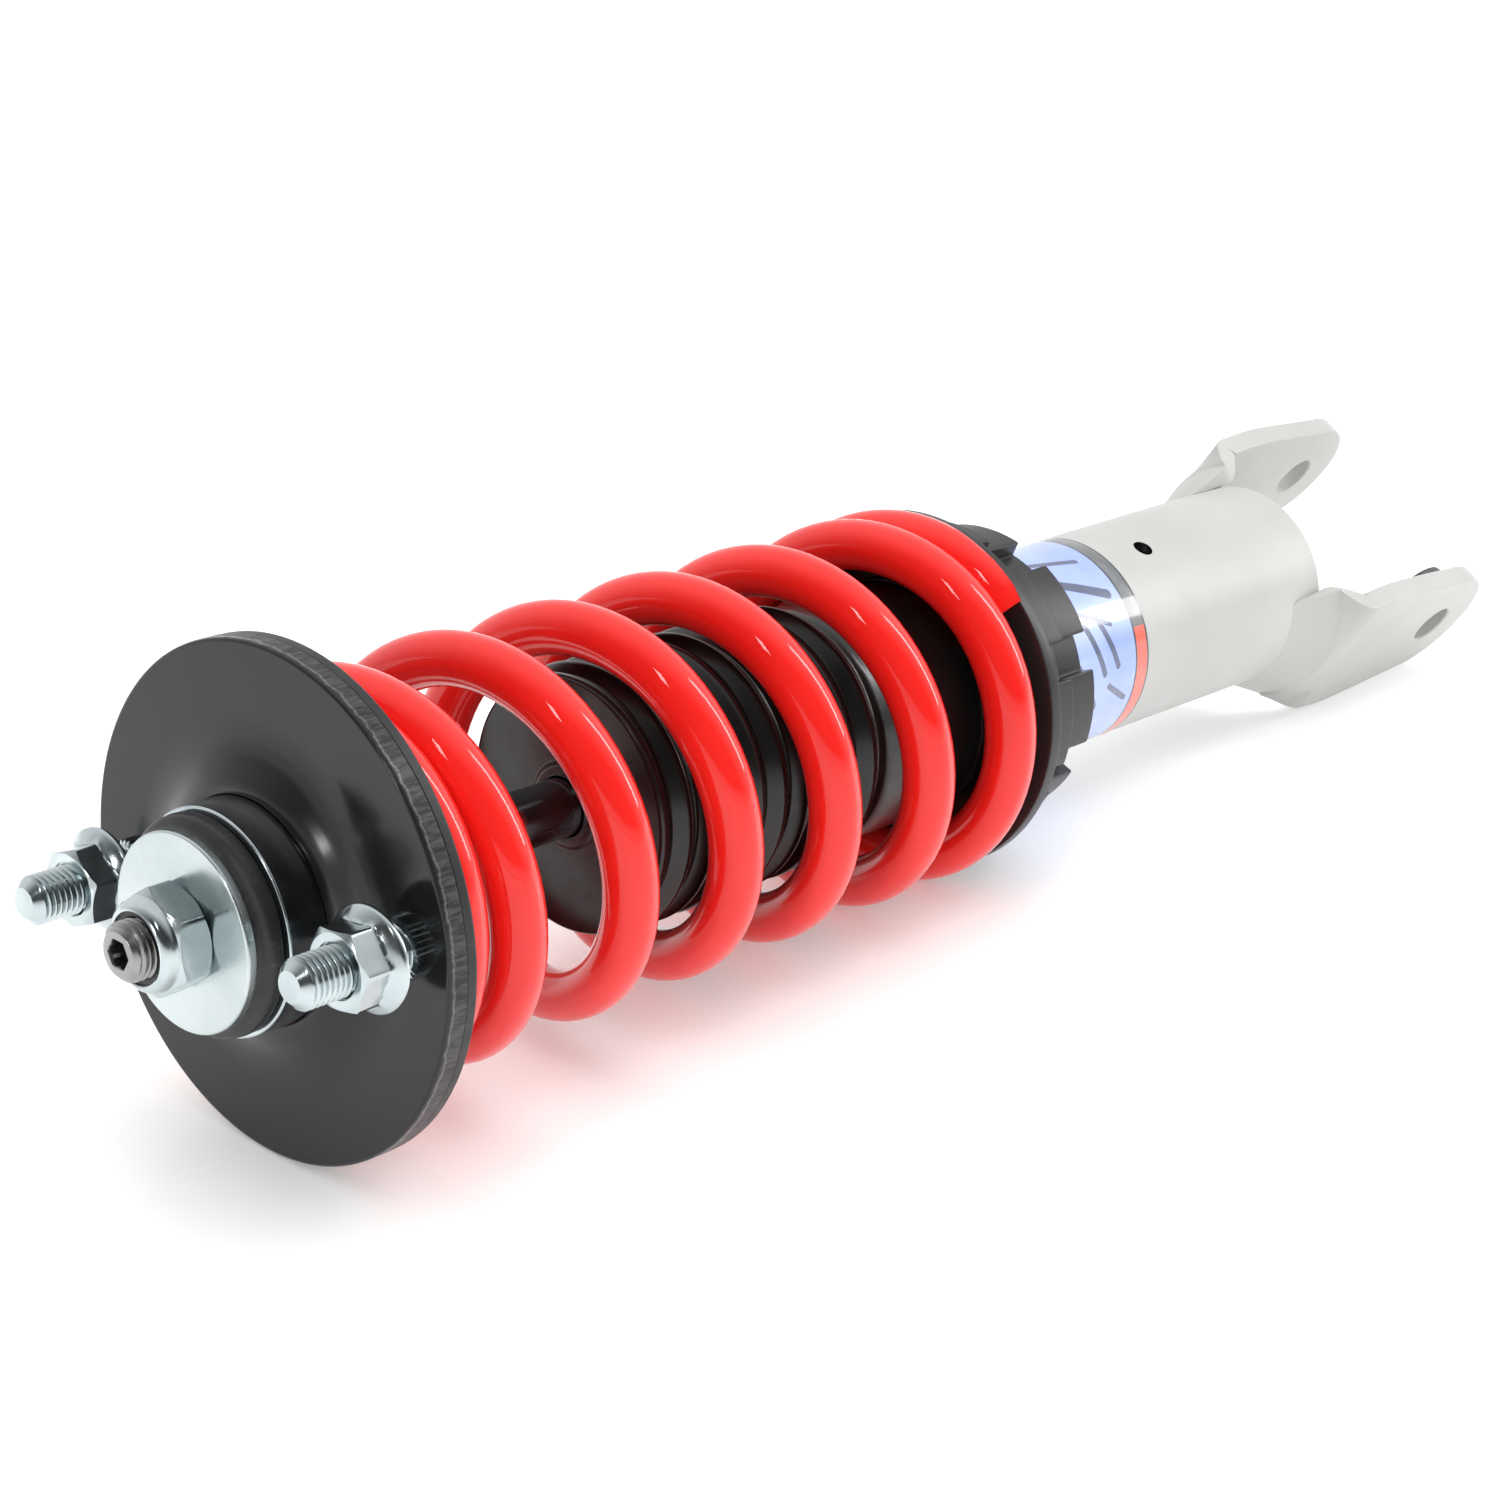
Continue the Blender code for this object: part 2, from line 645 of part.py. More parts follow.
def build_fork():
    build_ear("fork_ear_right", FORK_CLOCK)
    build_ear("fork_ear_left", FORK_CLOCK - 180)
    nut = ring("fork_weld_nut", "damper", "machined_steel", 0, WELD_NUT_T, 5.3, WELD_NUT_R, 24)
    inner_face = FORK_GAP / 2 - TOUCH
    nut.matrix_world = (
        Matrix.Rotation(math.radians(FORK_CLOCK - 180), 4, "X")
        @ Matrix.Translation((EAR_HOLE_X * MM, 0, inner_face * MM))
        @ Matrix.Rotation(math.pi / 2, 4, "Y")
    )


clear_scene()
parts = new_collection("coilover")
tools = new_collection("cutters", hidden=True)
bodies = {}
for body_name in ("mount", "spring_top", "spring_seat", "adjuster", "lock", "damper"):
    add_body(body_name)
build_plate()
build_bush()
build_top_fixing()
build_rod()
build_piston()
build_spring()
build_spring_covers()
build_perch()
build_damper()
build_fork()
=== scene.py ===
"""Coilover shock absorber: the visible pieces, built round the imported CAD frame.

The damper's axis is world X. Lengths are in millimetres until a mesh is made. Clock angles run
round the axis from the top (+Z) through the near side (-Y).
"""

import math

import bmesh
import bpy
import numpy as np
from mathutils import Matrix, Vector


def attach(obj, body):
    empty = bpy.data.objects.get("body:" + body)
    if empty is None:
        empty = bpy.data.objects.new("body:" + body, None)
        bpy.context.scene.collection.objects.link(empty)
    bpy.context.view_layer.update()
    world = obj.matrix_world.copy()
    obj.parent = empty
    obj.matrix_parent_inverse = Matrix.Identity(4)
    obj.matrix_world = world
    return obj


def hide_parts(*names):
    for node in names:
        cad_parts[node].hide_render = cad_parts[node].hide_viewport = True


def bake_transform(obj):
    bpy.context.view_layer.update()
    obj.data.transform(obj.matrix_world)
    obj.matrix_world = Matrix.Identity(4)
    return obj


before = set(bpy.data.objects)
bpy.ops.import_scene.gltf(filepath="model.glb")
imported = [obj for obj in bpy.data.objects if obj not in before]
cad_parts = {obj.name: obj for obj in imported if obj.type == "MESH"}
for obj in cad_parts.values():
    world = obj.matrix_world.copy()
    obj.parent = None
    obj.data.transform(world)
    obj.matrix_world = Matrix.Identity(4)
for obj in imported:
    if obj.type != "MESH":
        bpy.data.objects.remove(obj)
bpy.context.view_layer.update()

MM = 0.001
TAU = 2 * math.pi
STEPS = 160  # points round a large turned piece
SMALL_STEPS = 96  # points round a stud, nut or rod
SHARP_ANGLE = 38.0
TOUCH = 0.05  # gap between pieces that touch
THREAD_DEPTH = 0.58  # of the pitch

PLATE_R = 51.9
PLATE_T = 4.6
INSULATOR_END = 7.2
HUB_FOOT_R = 35.0
HUB_TOP_X = -3.6
SHELL_R = 22.6
SHELL_WALL = 1.6
SHELL_FRONT_X = -12.4
SHELL_BACK_X = 5.4
SLEEVE_R = 9.1
STUD_CIRCLE_R = 40.0
STUD_CLOCK = 82.6
STUD_R = 5.0
STUD_PITCH = 1.25
STUD_TIP_X = -26.8
STUD_NUT_X = -7.6
STUD_NUT_FRONT_X = -16.3
STUD_NUT_FLATS = 15.0
STUD_NUT_TURNS = {"left": 8.0, "right": 22.0}  # degrees
STUD_HEAD_R = 7.5
STUD_TEETH = 30

ROD_R = 6.25
ROD_THREAD_R = 5.9
ROD_PITCH = 1.25
ROD_TIP_X = -34.3
ROD_SHOULDER_X = 7.5
ROD_SEAT_X = 158.0
ROD_END_X = 175.0
ROD_END_R = 4.9
KEY_FLATS = 5.0
WASHER_R = 19.7
WASHER_X = -19.9
WASHER_T = 2.0
LOCK_NUT_FLATS = 19.0
LOCK_NUT_FRONT_X = -30.4
LOCK_NUT_STEP_X = -27.3
LOCK_NUT_TURN = math.radians(37.5)

SPRING_MEAN_R = 36.75
WIRE_R = 5.7
SPRING_PITCH = 29.93
SPRING_PHASE_X = 23.7
SPRING_TOP_X = 8.5
SEAT_X = 187.3
OPEN_TURNS = (-0.2, 5.2)  # the stroke is taken up between these turns
# (turn, x) of the wire's centre over the closed ends; between turns 0 and 5 the pitch is even.
CLOSED_TOP = [
    (-1.12, 8.9), (-1.0, 11.9), (-0.9, 14.6), (-0.83, 15.5), (-0.6, 17.0), (-0.3, 19.2), (-0.12, 21.2),
]
CLOSED_BOTTOM = [
    (5.12, 176.8), (5.28, 178.7), (5.6, 180.3), (5.8, 181.4), (5.9, 182.6), (6.0, 185.1), (6.125, 188.7),
]

BOOT_X = 79.0
BOOT_FOLD_X = 82.8
BOOT_PITCH = 7.0
BOOT_FOLDS = 9
BOOT_CREST_R = 29.4
BOOT_ROOT_R = 26.5
BOOT_END_X = 184.0

BODY_R = 24.4
BODY_BORE_R = 22.2
BODY_TOP_X = 112.0
BODY_END_X = 315.5
END_CAP_X = 304.0
THREAD_START_X = 150.0
THREAD_END_X = 211.8
BODY_PITCH = 2.0
LABEL_X = 212.4
LABEL_END_X = 244.7
LABEL_R = 24.58
BAND_X = 239.7  # the label's border band starts here
RED_SECTOR = (66.0, 150.0)  # clock angles of the band's red part
# The label's plain strokes: start and end as (x, arc), and width. They repeat three times round the tube.
STROKES = [
    ((217.0, 4.0), (235.0, 8.0), 1.5),
    ((217.5, 5.0), (217.5, 15.0), 1.9),
    ((221.5, 12.5), (236.0, 19.0), 2.6),
    ((218.5, 19.5), (232.5, 26.0), 1.2),
    ((223.5, 25.0), (228.0, 37.0), 1.7),
    ((228.5, 24.0), (233.0, 36.0), 1.7),
    ((218.0, 34.0), (225.0, 45.0), 2.8),
    ((230.0, 40.5), (237.0, 45.0), 1.5),
]
VALVE_X = 259.0
VALVE_CLOCK = 23.5
VALVE_HOLE_R = 2.45

RING_BORE_R = 24.7
FLANGE_R = 41.3
FLANGE_END_X = 190.7
PERCH_R = 37.4
PERCH_END_X = 200.0
LOCK_R = 34.0
LOCK_X = 200.6
LOCK_END_X = 212.0
NOTCHES = 8
NOTCH_W = 8.6
NOTCH_DEPTH = 3.5

FORK_CLOCK = 301.6
FORK_GAP = 50.0
EAR_T = 5.5
EAR_ROOT_X = 304.0
EAR_BEND_X = 317.0
EAR_FLAT_X = 325.0
EAR_WIDE_X = 336.0
EAR_HOLE_X = 368.0
EAR_ROOT_HALF = 17.0
EAR_FEATHER_END_X = 318.5  # the ground weld thins the ear's outer face from here down to the root
EAR_THINNED = 0.97  # share of the thickness that is gone at the root
EAR_SUNK = 0.5  # depth of the ear's inner face under its seat at the root
EAR_WIDE = 20.0
EAR_TIP_R = 16.5
BOLT_HOLE_R = 5.6
WELD_NUT_R = 11.25
WELD_NUT_T = 4.9

DARK_SIDE = 0.06  # strength of the studio above the camera's side
PALE_SIDE = 0.95  # strength of the studio behind the object


# ---- Materials ----


def start_material(name):
    """A new material, its node tree and its shader."""
    material = bpy.data.materials.new(name)
    material.use_nodes = True
    return material, material.node_tree, material.node_tree.nodes["Principled BSDF"]


def node(tree, kind, inputs=None, **settings):
    """A node with its settings, its constant inputs and its links."""
    made = tree.nodes.new(kind)
    for key, value in settings.items():
        setattr(made, key, value)
    for key, value in (inputs or {}).items():
        if isinstance(value, bpy.types.NodeSocket):
            tree.links.new(value, made.inputs[key])
        else:
            made.inputs[key].default_value = value
    return made


def maths(tree, operation, first, second=0.0):
    return node(tree, "ShaderNodeMath", {0: first, 1: second}, operation=operation).outputs[0]


def position(tree):
    return node(tree, "ShaderNodeTexCoord").outputs["Object"]


def noise(tree, scale, detail=3.0, stretch=(1.0, 1.0, 1.0)):
    """Noise from 0 to 1; scale is in features per metre."""
    mapped = node(tree, "ShaderNodeMapping", {"Vector": position(tree), "Scale": stretch})
    return node(
        tree, "ShaderNodeTexNoise", {"Vector": mapped.outputs[0], "Scale": scale, "Detail": detail}
    ).outputs["Fac"]


def remap(tree, value, low, high, out_low, out_high):
    inputs = {"Value": value, "From Min": low, "From Max": high, "To Min": out_low, "To Max": out_high}
    return node(tree, "ShaderNodeMapRange", inputs).outputs[0]


def vector_maths(tree, operation, inputs, output="Vector"):
    return node(tree, "ShaderNodeVectorMath", inputs, operation=operation).outputs[output]


def blend_colours(tree, share, first, second):
    """Mixes two colours, each an RGB tuple or a socket."""
    mix = node(tree, "ShaderNodeMix", {0: share}, data_type="RGBA")
    for index, colour in ((6, first), (7, second)):
        if isinstance(colour, bpy.types.NodeSocket):
            tree.links.new(colour, mix.inputs[index])
        else:
            mix.inputs[index].default_value = (*colour, 1.0)
    return mix.outputs[2]


def bump(tree, height, depth, under=None):
    """A bump of that depth in millimetres, over another normal if one is given."""
    inputs = {"Height": height, "Strength": 1.0, "Distance": depth * MM}
    if under is not None:
        inputs["Normal"] = under
    return node(tree, "ShaderNodeBump", inputs).outputs[0]


def wire(tree, shader, **sockets):
    for key, value in sockets.items():
        name = key.replace("_", " ")
        if isinstance(value, bpy.types.NodeSocket):
            tree.links.new(value, shader.inputs[name])
        elif isinstance(value, tuple):
            shader.inputs[name].default_value = (*value, 1.0)
        else:
            shader.inputs[name].default_value = value


def painted(name, dark, light, rough, peel, coat=0.0, coat_rough=0.05, metallic=0.0, specular=0.5):
    """A sprayed finish: slow colour drift, uneven gloss and orange peel."""
    material, tree, shader = start_material(name)
    drift = remap(tree, noise(tree, 35.0, 4.0), 0.3, 0.7, 0.0, 1.0)
    colour = blend_colours(tree, drift, dark, light)
    gloss = remap(tree, noise(tree, 90.0, 4.0), 0.3, 0.7, rough[0], rough[1])
    peel_normal = bump(tree, noise(tree, 420.0, 1.0), peel)
    wire(tree, shader, Base_Color=colour, Roughness=gloss, Normal=peel_normal, Metallic=metallic)
    wire(tree, shader, Coat_Weight=coat, Coat_Roughness=coat_rough, Specular_IOR_Level=specular)
    return material


def metal(name, dark, light, rough, scratch, stretch=(1.0, 1.0, 1.0), cloud=60.0):
    """Bare or plated metal: cloudy tone, uneven gloss, fine scratches."""
    material, tree, shader = start_material(name)
    cloudy = remap(tree, noise(tree, cloud, 5.0), 0.32, 0.68, 0.0, 1.0)
    gloss = remap(tree, noise(tree, cloud * 3, 4.0), 0.3, 0.7, rough[0], rough[1])
    lines = noise(tree, 1500.0, 3.0, stretch)
    wire(tree, shader, Base_Color=blend_colours(tree, cloudy, dark, light), Roughness=gloss, Metallic=1.0)
    wire(tree, shader, Normal=bump(tree, lines, scratch))
    return material


def moulded(name, dark, light, rough, grain, scuff=0.0):
    """Rubber or plastic: matt, grained, with pale scuffs."""
    material, tree, shader = start_material(name)
    tone = remap(tree, noise(tree, 120.0, 4.0), 0.3, 0.7, 0.0, 1.0)
    colour = blend_colours(tree, tone, dark, light)
    if scuff:
        scuffs = remap(tree, noise(tree, 420.0, 5.0, (0.4, 1.6, 1.6)), 0.62, 0.72, 0.0, scuff)
        colour = blend_colours(tree, scuffs, colour, (0.16, 0.16, 0.16))
    gloss = remap(tree, noise(tree, 260.0, 3.0), 0.3, 0.7, rough[0], rough[1])
    wire(tree, shader, Base_Color=colour, Roughness=gloss, Normal=bump(tree, noise(tree, 2200.0, 3.0), grain))
    return material


def sheared_edge(name):
    """The plate's punched edge under thin paint: a smooth band, a pale torn lip, then a pitted band."""
    material, tree, shader = start_material(name)
    along = node(tree, "ShaderNodeSeparateXYZ", {0: position(tree)}).outputs[0]
    tears = noise(tree, 330.0, 4.0, (0.2, 1.0, 1.0))
    edge = maths(tree, "ADD", along, maths(tree, "MULTIPLY", tears, 0.0022))
    torn = remap(tree, edge, 0.0024, 0.0029, 0.0, 1.0)
    pits = noise(tree, 1300.0, 4.0, (0.16, 1.0, 1.0))
    lip_rise = remap(tree, edge, 0.0019, 0.0024, 0.0, 1.0)
    lip = maths(tree, "MULTIPLY", lip_rise, remap(tree, edge, 0.0024, 0.0027, 1.0, 0.0))
    burnished = blend_colours(tree, pits, (0.010, 0.010, 0.011), (0.026, 0.026, 0.027))
    pitted = remap(tree, pits, 0.38, 0.62, 0.0, 1.0)
    rough_part = blend_colours(tree, pitted, (0.012, 0.012, 0.013), (0.055, 0.055, 0.057))
    colour = blend_colours(tree, torn, burnished, rough_part)
    colour = blend_colours(tree, maths(tree, "MULTIPLY", lip, pits), colour, (0.22, 0.22, 0.225))
    normal = bump(tree, tears, 0.25)
    normal = bump(tree, pits, 0.05, normal)
    wire(tree, shader, Base_Color=colour, Normal=normal, Metallic=0.25)
    wire(tree, shader, Roughness=remap(tree, torn, 0.0, 1.0, 0.25, 0.42))
    return material


def printed_film(name):
    """The label: blue lacquer film with plain slanted strokes, a dark border band and a red sector."""
    material, tree, shader = start_material(name)
    parts = node(tree, "ShaderNodeSeparateXYZ", {0: position(tree)})
    x = maths(tree, "DIVIDE", parts.outputs[0], MM)
    back = maths(tree, "MULTIPLY", parts.outputs[1], -1.0)
    clock = maths(tree, "ARCTAN2", back, parts.outputs[2])
    arc = maths(tree, "MULTIPLY", clock, LABEL_R)
    repeat = TAU * LABEL_R / 3
    local = node(tree, "ShaderNodeMath", {0: arc, 1: repeat, 2: 0.0}, operation="WRAP").outputs[0]
    point = node(tree, "ShaderNodeCombineXYZ", {0: x, 1: local}).outputs[0]

    def stroke(start, end, width):
        """1 inside a straight stroke between two (x, arc) points."""
        delta = (end[0] - start[0], end[1] - start[1], 0.0)
        square = delta[0] ** 2 + delta[1] ** 2
        from_start = vector_maths(tree, "SUBTRACT", {0: point, 1: (*start, 0.0)})
        dot = vector_maths(tree, "DOT_PRODUCT", {0: from_start, 1: delta}, "Value")
        share = remap(tree, dot, 0.0, square, 0.0, 1.0)
        nearest = vector_maths(tree, "SCALE", {0: delta, "Scale": share})
        gap = vector_maths(tree, "DISTANCE", {0: from_start, 1: nearest}, "Value")
        return remap(tree, gap, width / 2 - 0.12, width / 2 + 0.12, 1.0, 0.0)

    ink = stroke(*STROKES[0])
    for start, end, width in STROKES[1:]:
        ink = maths(tree, "MAXIMUM", ink, stroke(start, end, width))
    cloud = remap(tree, noise(tree, 40.0, 3.0), 0.35, 0.65, 0.0, 1.0)
    colour = blend_colours(tree, cloud, (0.30, 0.40, 0.90), (0.44, 0.55, 0.97))
    colour = blend_colours(tree, maths(tree, "MULTIPLY", ink, 0.85), colour, (0.035, 0.04, 0.06))

    in_band = remap(tree, x, BAND_X - 0.1, BAND_X + 0.1, 0.0, 1.0)
    on_line = maths(tree, "MAXIMUM", remap(tree, x, BAND_X + 0.5, BAND_X + 0.7, 1.0, 0.0),
                    remap(tree, x, LABEL_END_X - 0.7, LABEL_END_X - 0.5, 0.0, 1.0))
    red_start, red_end = (math.radians(a) for a in RED_SECTOR)
    in_red = maths(tree, "MULTIPLY", remap(tree, clock, red_start, red_start + 0.01, 0.0, 1.0),
                   remap(tree, clock, red_end, red_end + 0.01, 1.0, 0.0))
    shade_of_grey = remap(tree, noise(tree, 90.0, 2.0), 0.35, 0.6, 0.0, 1.0)
    grey = blend_colours(tree, shade_of_grey, (0.05, 0.055, 0.06), (0.16, 0.17, 0.18))
    band = blend_colours(tree, in_red, grey, (0.78, 0.12, 0.08))
    band = blend_colours(tree, on_line, band, (0.03, 0.035, 0.04))
    colour = blend_colours(tree, in_band, colour, band)
    wire(tree, shader, Base_Color=colour, Coat_Weight=0.8, Coat_Roughness=0.04)
    wire(tree, shader, Roughness=remap(tree, noise(tree, 300.0, 2.0), 0.3, 0.7, 0.18, 0.28))
    wire(tree, shader, Normal=bump(tree, noise(tree, 160.0, 2.0), 0.05))
    return material


ZINC_DARK = (0.44, 0.50, 0.52)
ZINC_LIGHT = (0.65, 0.72, 0.73)
FINISHES = {
    "black_paint": painted(
        "black_paint", (0.010, 0.010, 0.011), (0.014, 0.014, 0.015), (0.12, 0.18), 0.005, specular=0.38
    ),
    "sheared_edge": sheared_edge("sheared_edge"),
    "zinc": metal("zinc", ZINC_DARK, ZINC_LIGHT, (0.12, 0.24), 0.006),
    "zinc_drawn": metal(
        "zinc_drawn", (0.28, 0.29, 0.30), (0.40, 0.41, 0.42), (0.16, 0.26), 0.008, (0.15, 1.0, 1.0)
    ),
    "zinc_stamped": metal(
        "zinc_stamped", (0.50, 0.56, 0.57), (0.63, 0.69, 0.69), (0.22, 0.32), 0.008, cloud=45.0
    ),
    "rubber": moulded("rubber", (0.008, 0.008, 0.009), (0.015, 0.015, 0.016), (0.36, 0.5), 0.02, 0.10),
    "boot_rubber": moulded("boot_rubber", (0.004, 0.004, 0.004), (0.007, 0.007, 0.007), (0.20, 0.28), 0.003),
    "nylon": moulded("nylon", (0.025, 0.025, 0.028), (0.045, 0.045, 0.05), (0.4, 0.5), 0.01),
    "rod_steel": metal(
        "rod_steel", (0.52, 0.57, 0.63), (0.64, 0.69, 0.75), (0.08, 0.13), 0.002, (4.0, 0.3, 0.3)
    ),
    "rod_thread": metal("rod_thread", (0.26, 0.26, 0.255), (0.42, 0.42, 0.41), (0.18, 0.3), 0.01),
    "machined_steel": metal("machined_steel", (0.10, 0.10, 0.105), (0.18, 0.18, 0.185), (0.3, 0.42), 0.01),
    "machined_aluminium": metal(
        "machined_aluminium", (0.55, 0.55, 0.55), (0.68, 0.68, 0.68), (0.25, 0.4), 0.01
    ),
    "red_paint": painted(
        "red_paint", (0.76, 0.011, 0.008), (0.84, 0.016, 0.011), (0.4, 0.5), 0.002, 1.0, 0.03, specular=0.1
    ),
    "black_anodised": painted(
        "black_anodised", (0.017, 0.017, 0.018), (0.026, 0.026, 0.027), (0.3, 0.38), 0.006, metallic=0.2
    ),
    "silver_paint": painted("silver_paint", (0.445, 0.445, 0.43), (0.495, 0.495, 0.48), (0.34, 0.42), 0.02),
    "blue_film": printed_film("blue_film"),
    "foam": moulded("foam", (0.45, 0.36, 0.12), (0.58, 0.47, 0.18), (0.75, 0.85), 0.08),
}


# ---- Mesh helpers ----


def around_axis(x, radius, angle, centre=(0.0, 0.0)):
    """Points at station x, that radius and clock angle (radians) round an axis parallel to X."""
    x, radius, angle = np.broadcast_arrays(x, radius, angle)
    return np.stack([x, centre[0] - radius * np.sin(angle), centre[1] + radius * np.cos(angle)], -1)


def grid_faces(rows, columns, wrap_rows=False, start=0):
    """Quads over a grid whose columns close on themselves."""
    faces = []
    for i in range(rows if wrap_rows else rows - 1):
        low, high = start + i * columns, start + (i + 1) % rows * columns
        for j in range(columns):
            k = (j + 1) % columns
            faces.append((low + j, low + k, high + k, high + j))
    return faces


def make_piece(name, body, finish, points, faces, replaces=(), slot=None, sharp=SHARP_ANGLE, second=None):
    """A closed mesh riding on a body.

    second = (finish, test) gives another finish to the faces whose centre, in millimetres, passes the test.
    """
    mesh = bpy.data.meshes.new(name)
    mesh.from_pydata((np.asarray(points, float).reshape(-1, 3) * MM).tolist(), [], faces)
    shape = bmesh.new()
    shape.from_mesh(mesh)
    bmesh.ops.remove_doubles(shape, verts=shape.verts, dist=2e-6)
    bmesh.ops.dissolve_degenerate(shape, edges=shape.edges, dist=1e-7)
    if shape.calc_volume(signed=True) < 0:
        bmesh.ops.reverse_faces(shape, faces=shape.faces)
    shape.to_mesh(mesh)
    shape.free()
    obj = bpy.data.objects.new(name, mesh)
    bpy.context.scene.collection.objects.link(obj)
    mesh.materials.append(FINISHES[finish])
    if second:
        mesh.materials.append(FINISHES[second[0]])
        for face in mesh.polygons:
            face.material_index = int(second[1](face.center / MM))
    shade(obj, sharp)
    if body:
        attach(obj, body)
    if replaces:
        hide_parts(*([replaces] if isinstance(replaces, str) else replaces))
    return obj


def shade(obj, sharp):
    """Smooth shading, with a crisp edge wherever two faces meet at more than that angle in degrees."""
    obj.data.shade_smooth()
    obj.data.set_sharp_from_angle(angle=math.radians(sharp))


def apply_modifiers(obj):
    """Replaces the piece's mesh by what its modifiers make of it."""
    bpy.context.view_layer.update()
    graph = bpy.context.evaluated_depsgraph_get()
    mesh = bpy.data.meshes.new_from_object(obj.evaluated_get(graph))
    obj.modifiers.clear()
    obj.data = mesh


def keep_flats_flat(obj):
    """Weights the normals by face area, so that a flat face beside a small radius shades flat."""
    weights = obj.modifiers.new("flats", "WEIGHTED_NORMAL")
    weights.keep_sharp = True
    apply_modifiers(obj)


def filleted(profile, arc_points=4):
    """A closed (x, r) or (x, r, fillet) outline with its corners rounded."""
    out = []
    count = len(profile)
    for i, corner in enumerate(profile):
        here = np.array(corner[:2], float)
        size = corner[2] if len(corner) > 2 else 0.0
        before = np.array(profile[i - 1][:2], float) - here
        after = np.array(profile[(i + 1) % count][:2], float) - here
        lengths = np.linalg.norm(before), np.linalg.norm(after)
        size = min(size, 0.48 * lengths[0], 0.48 * lengths[1])
        if size <= 0:
            out.append(tuple(here))
            continue
        start = here + before / lengths[0] * size
        end = here + after / lengths[1] * size
        for t in np.linspace(0, 1, arc_points + 1):
            out.append(tuple((1 - t) ** 2 * start + 2 * t * (1 - t) * here + t * t * end))
    return out


def lathe(name, body, finish, profile, steps=STEPS, **options):
    """A turned piece. Its outline closes on itself, or on the axis."""
    outline = np.array(filleted(profile))
    on_axis = outline[0][1] == 0 and outline[-1][1] == 0
    angle = np.arange(steps) * TAU / steps
    points = around_axis(outline[:, :1], outline[:, 1:], angle)
    faces = grid_faces(len(outline), steps, wrap_rows=not on_axis)
    obj = make_piece(name, body, finish, points, faces, name, **options)
    keep_flats_flat(obj)
    return obj


def polar_rows(rows, steps, centre=(0.0, 0.0)):
    """Points for rows of (x, r), where each may be an array over the angle."""
    angle = np.arange(steps) * TAU / steps
    return np.concatenate([around_axis(x, radius, angle, centre) for x, radius in rows])


def hexagon(flats, steps, turn=0.0, blunt=0.985):
    """Radius of a hexagon at each angle, its corners blunted as on a nut cut from round bar."""
    angle = np.arange(steps) * TAU / steps + turn
    local = (angle + math.pi / 6) % (math.pi / 3) - math.pi / 6
    return np.minimum(flats / 2 / np.cos(local), flats / math.sqrt(3) * blunt)


def screw_thread(x0, x1, major, pitch, steps, low_end, high_end, centre=(0.0, 0.0), per_turn=8):
    """Faces and points of a screw thread from x0 to x1.

    low_end and high_end are (radius, run): the radius at that end, and the length over which the
    thread grows from it. The rows of points follow the helix, so the crests stay crisp.
    """
    minor = major - THREAD_DEPTH * pitch
    angle = np.arange(steps) * TAU / steps
    first = math.floor(-per_turn) - 1
    last = math.ceil((x1 - x0) / pitch * per_turn) + 2
    index = np.arange(first, last)
    x = np.clip(x0 + pitch * (index[:, None] / per_turn + angle[None, :] / TAU), x0, x1)
    phase = ((x - x0) / pitch - angle[None, :] / TAU) % 1.0
    slope = np.interp(phase, [0.0, 0.125, 0.5, 0.625, 1.0], [1.0, 1.0, 0.0, 0.0, 1.0])
    radius = minor + (major - minor) * slope
    for (end_r, run), distance in ((low_end, x - x0), (high_end, x1 - x)):
        share = np.clip(distance / run, 0, 1)
        if end_r < minor:
            radius = np.minimum(radius, end_r + (major - end_r) * share)
        else:
            radius = radius + (end_r - radius) * (1 - share) ** 2
    points = around_axis(x, radius, angle[None, :], centre).reshape(-1, 3)
    faces = []
    rows = len(index)
    for i in range(rows - 1):
        for j in range(steps - 1):
            faces.append((i * steps + j, i * steps + j + 1, (i + 1) * steps + j + 1, (i + 1) * steps + j))
        k = i + per_turn
        if k + 1 < rows:
            faces.append((i * steps + steps - 1, k * steps, (k + 1) * steps, (i + 1) * steps + steps - 1))
    return points, faces


def with_thread(rows_before, thread, rows_after, steps, centre=(0.0, 0.0), wrap=False):
    """Joins turned rows to both ends of a thread; the rows next to it repeat its end rings."""
    points, faces = thread
    parts = [points]
    faces = list(faces)
    used = len(points)
    for rows in (rows_before, rows_after):
        ring_points = polar_rows(rows, steps, centre)
        faces += grid_faces(len(rows), steps, start=used)
        parts.append(ring_points)
        used += len(ring_points)
    if wrap:
        start = len(points)
        end = used - steps
        for j in range(steps):
            k = (j + 1) % steps
            faces.append((end + j, end + k, start + k, start + j))
    return np.concatenate(parts), faces


def drill(obj, radius, depth, place, sides=64):
    """Cuts a round hole through a piece; place is the matrix of a drill that points along its own Z."""
    shape = bmesh.new()
    bmesh.ops.create_cone(
        shape, cap_ends=True, segments=sides, radius1=radius * MM, radius2=radius * MM, depth=depth * MM
    )
    shape.transform(place)
    mesh = bpy.data.meshes.new("drill")
    shape.to_mesh(mesh)
    shape.free()
    tool = bpy.data.objects.new("drill", mesh)
    bpy.context.scene.collection.objects.link(tool)
    cut = obj.modifiers.new("hole", "BOOLEAN")
    cut.operation = "DIFFERENCE"
    cut.solver = "EXACT"
    cut.object = tool
    apply_modifiers(obj)
    shade(obj, SHARP_ANGLE)
    bpy.data.objects.remove(tool)


# ---- Upper mount ----


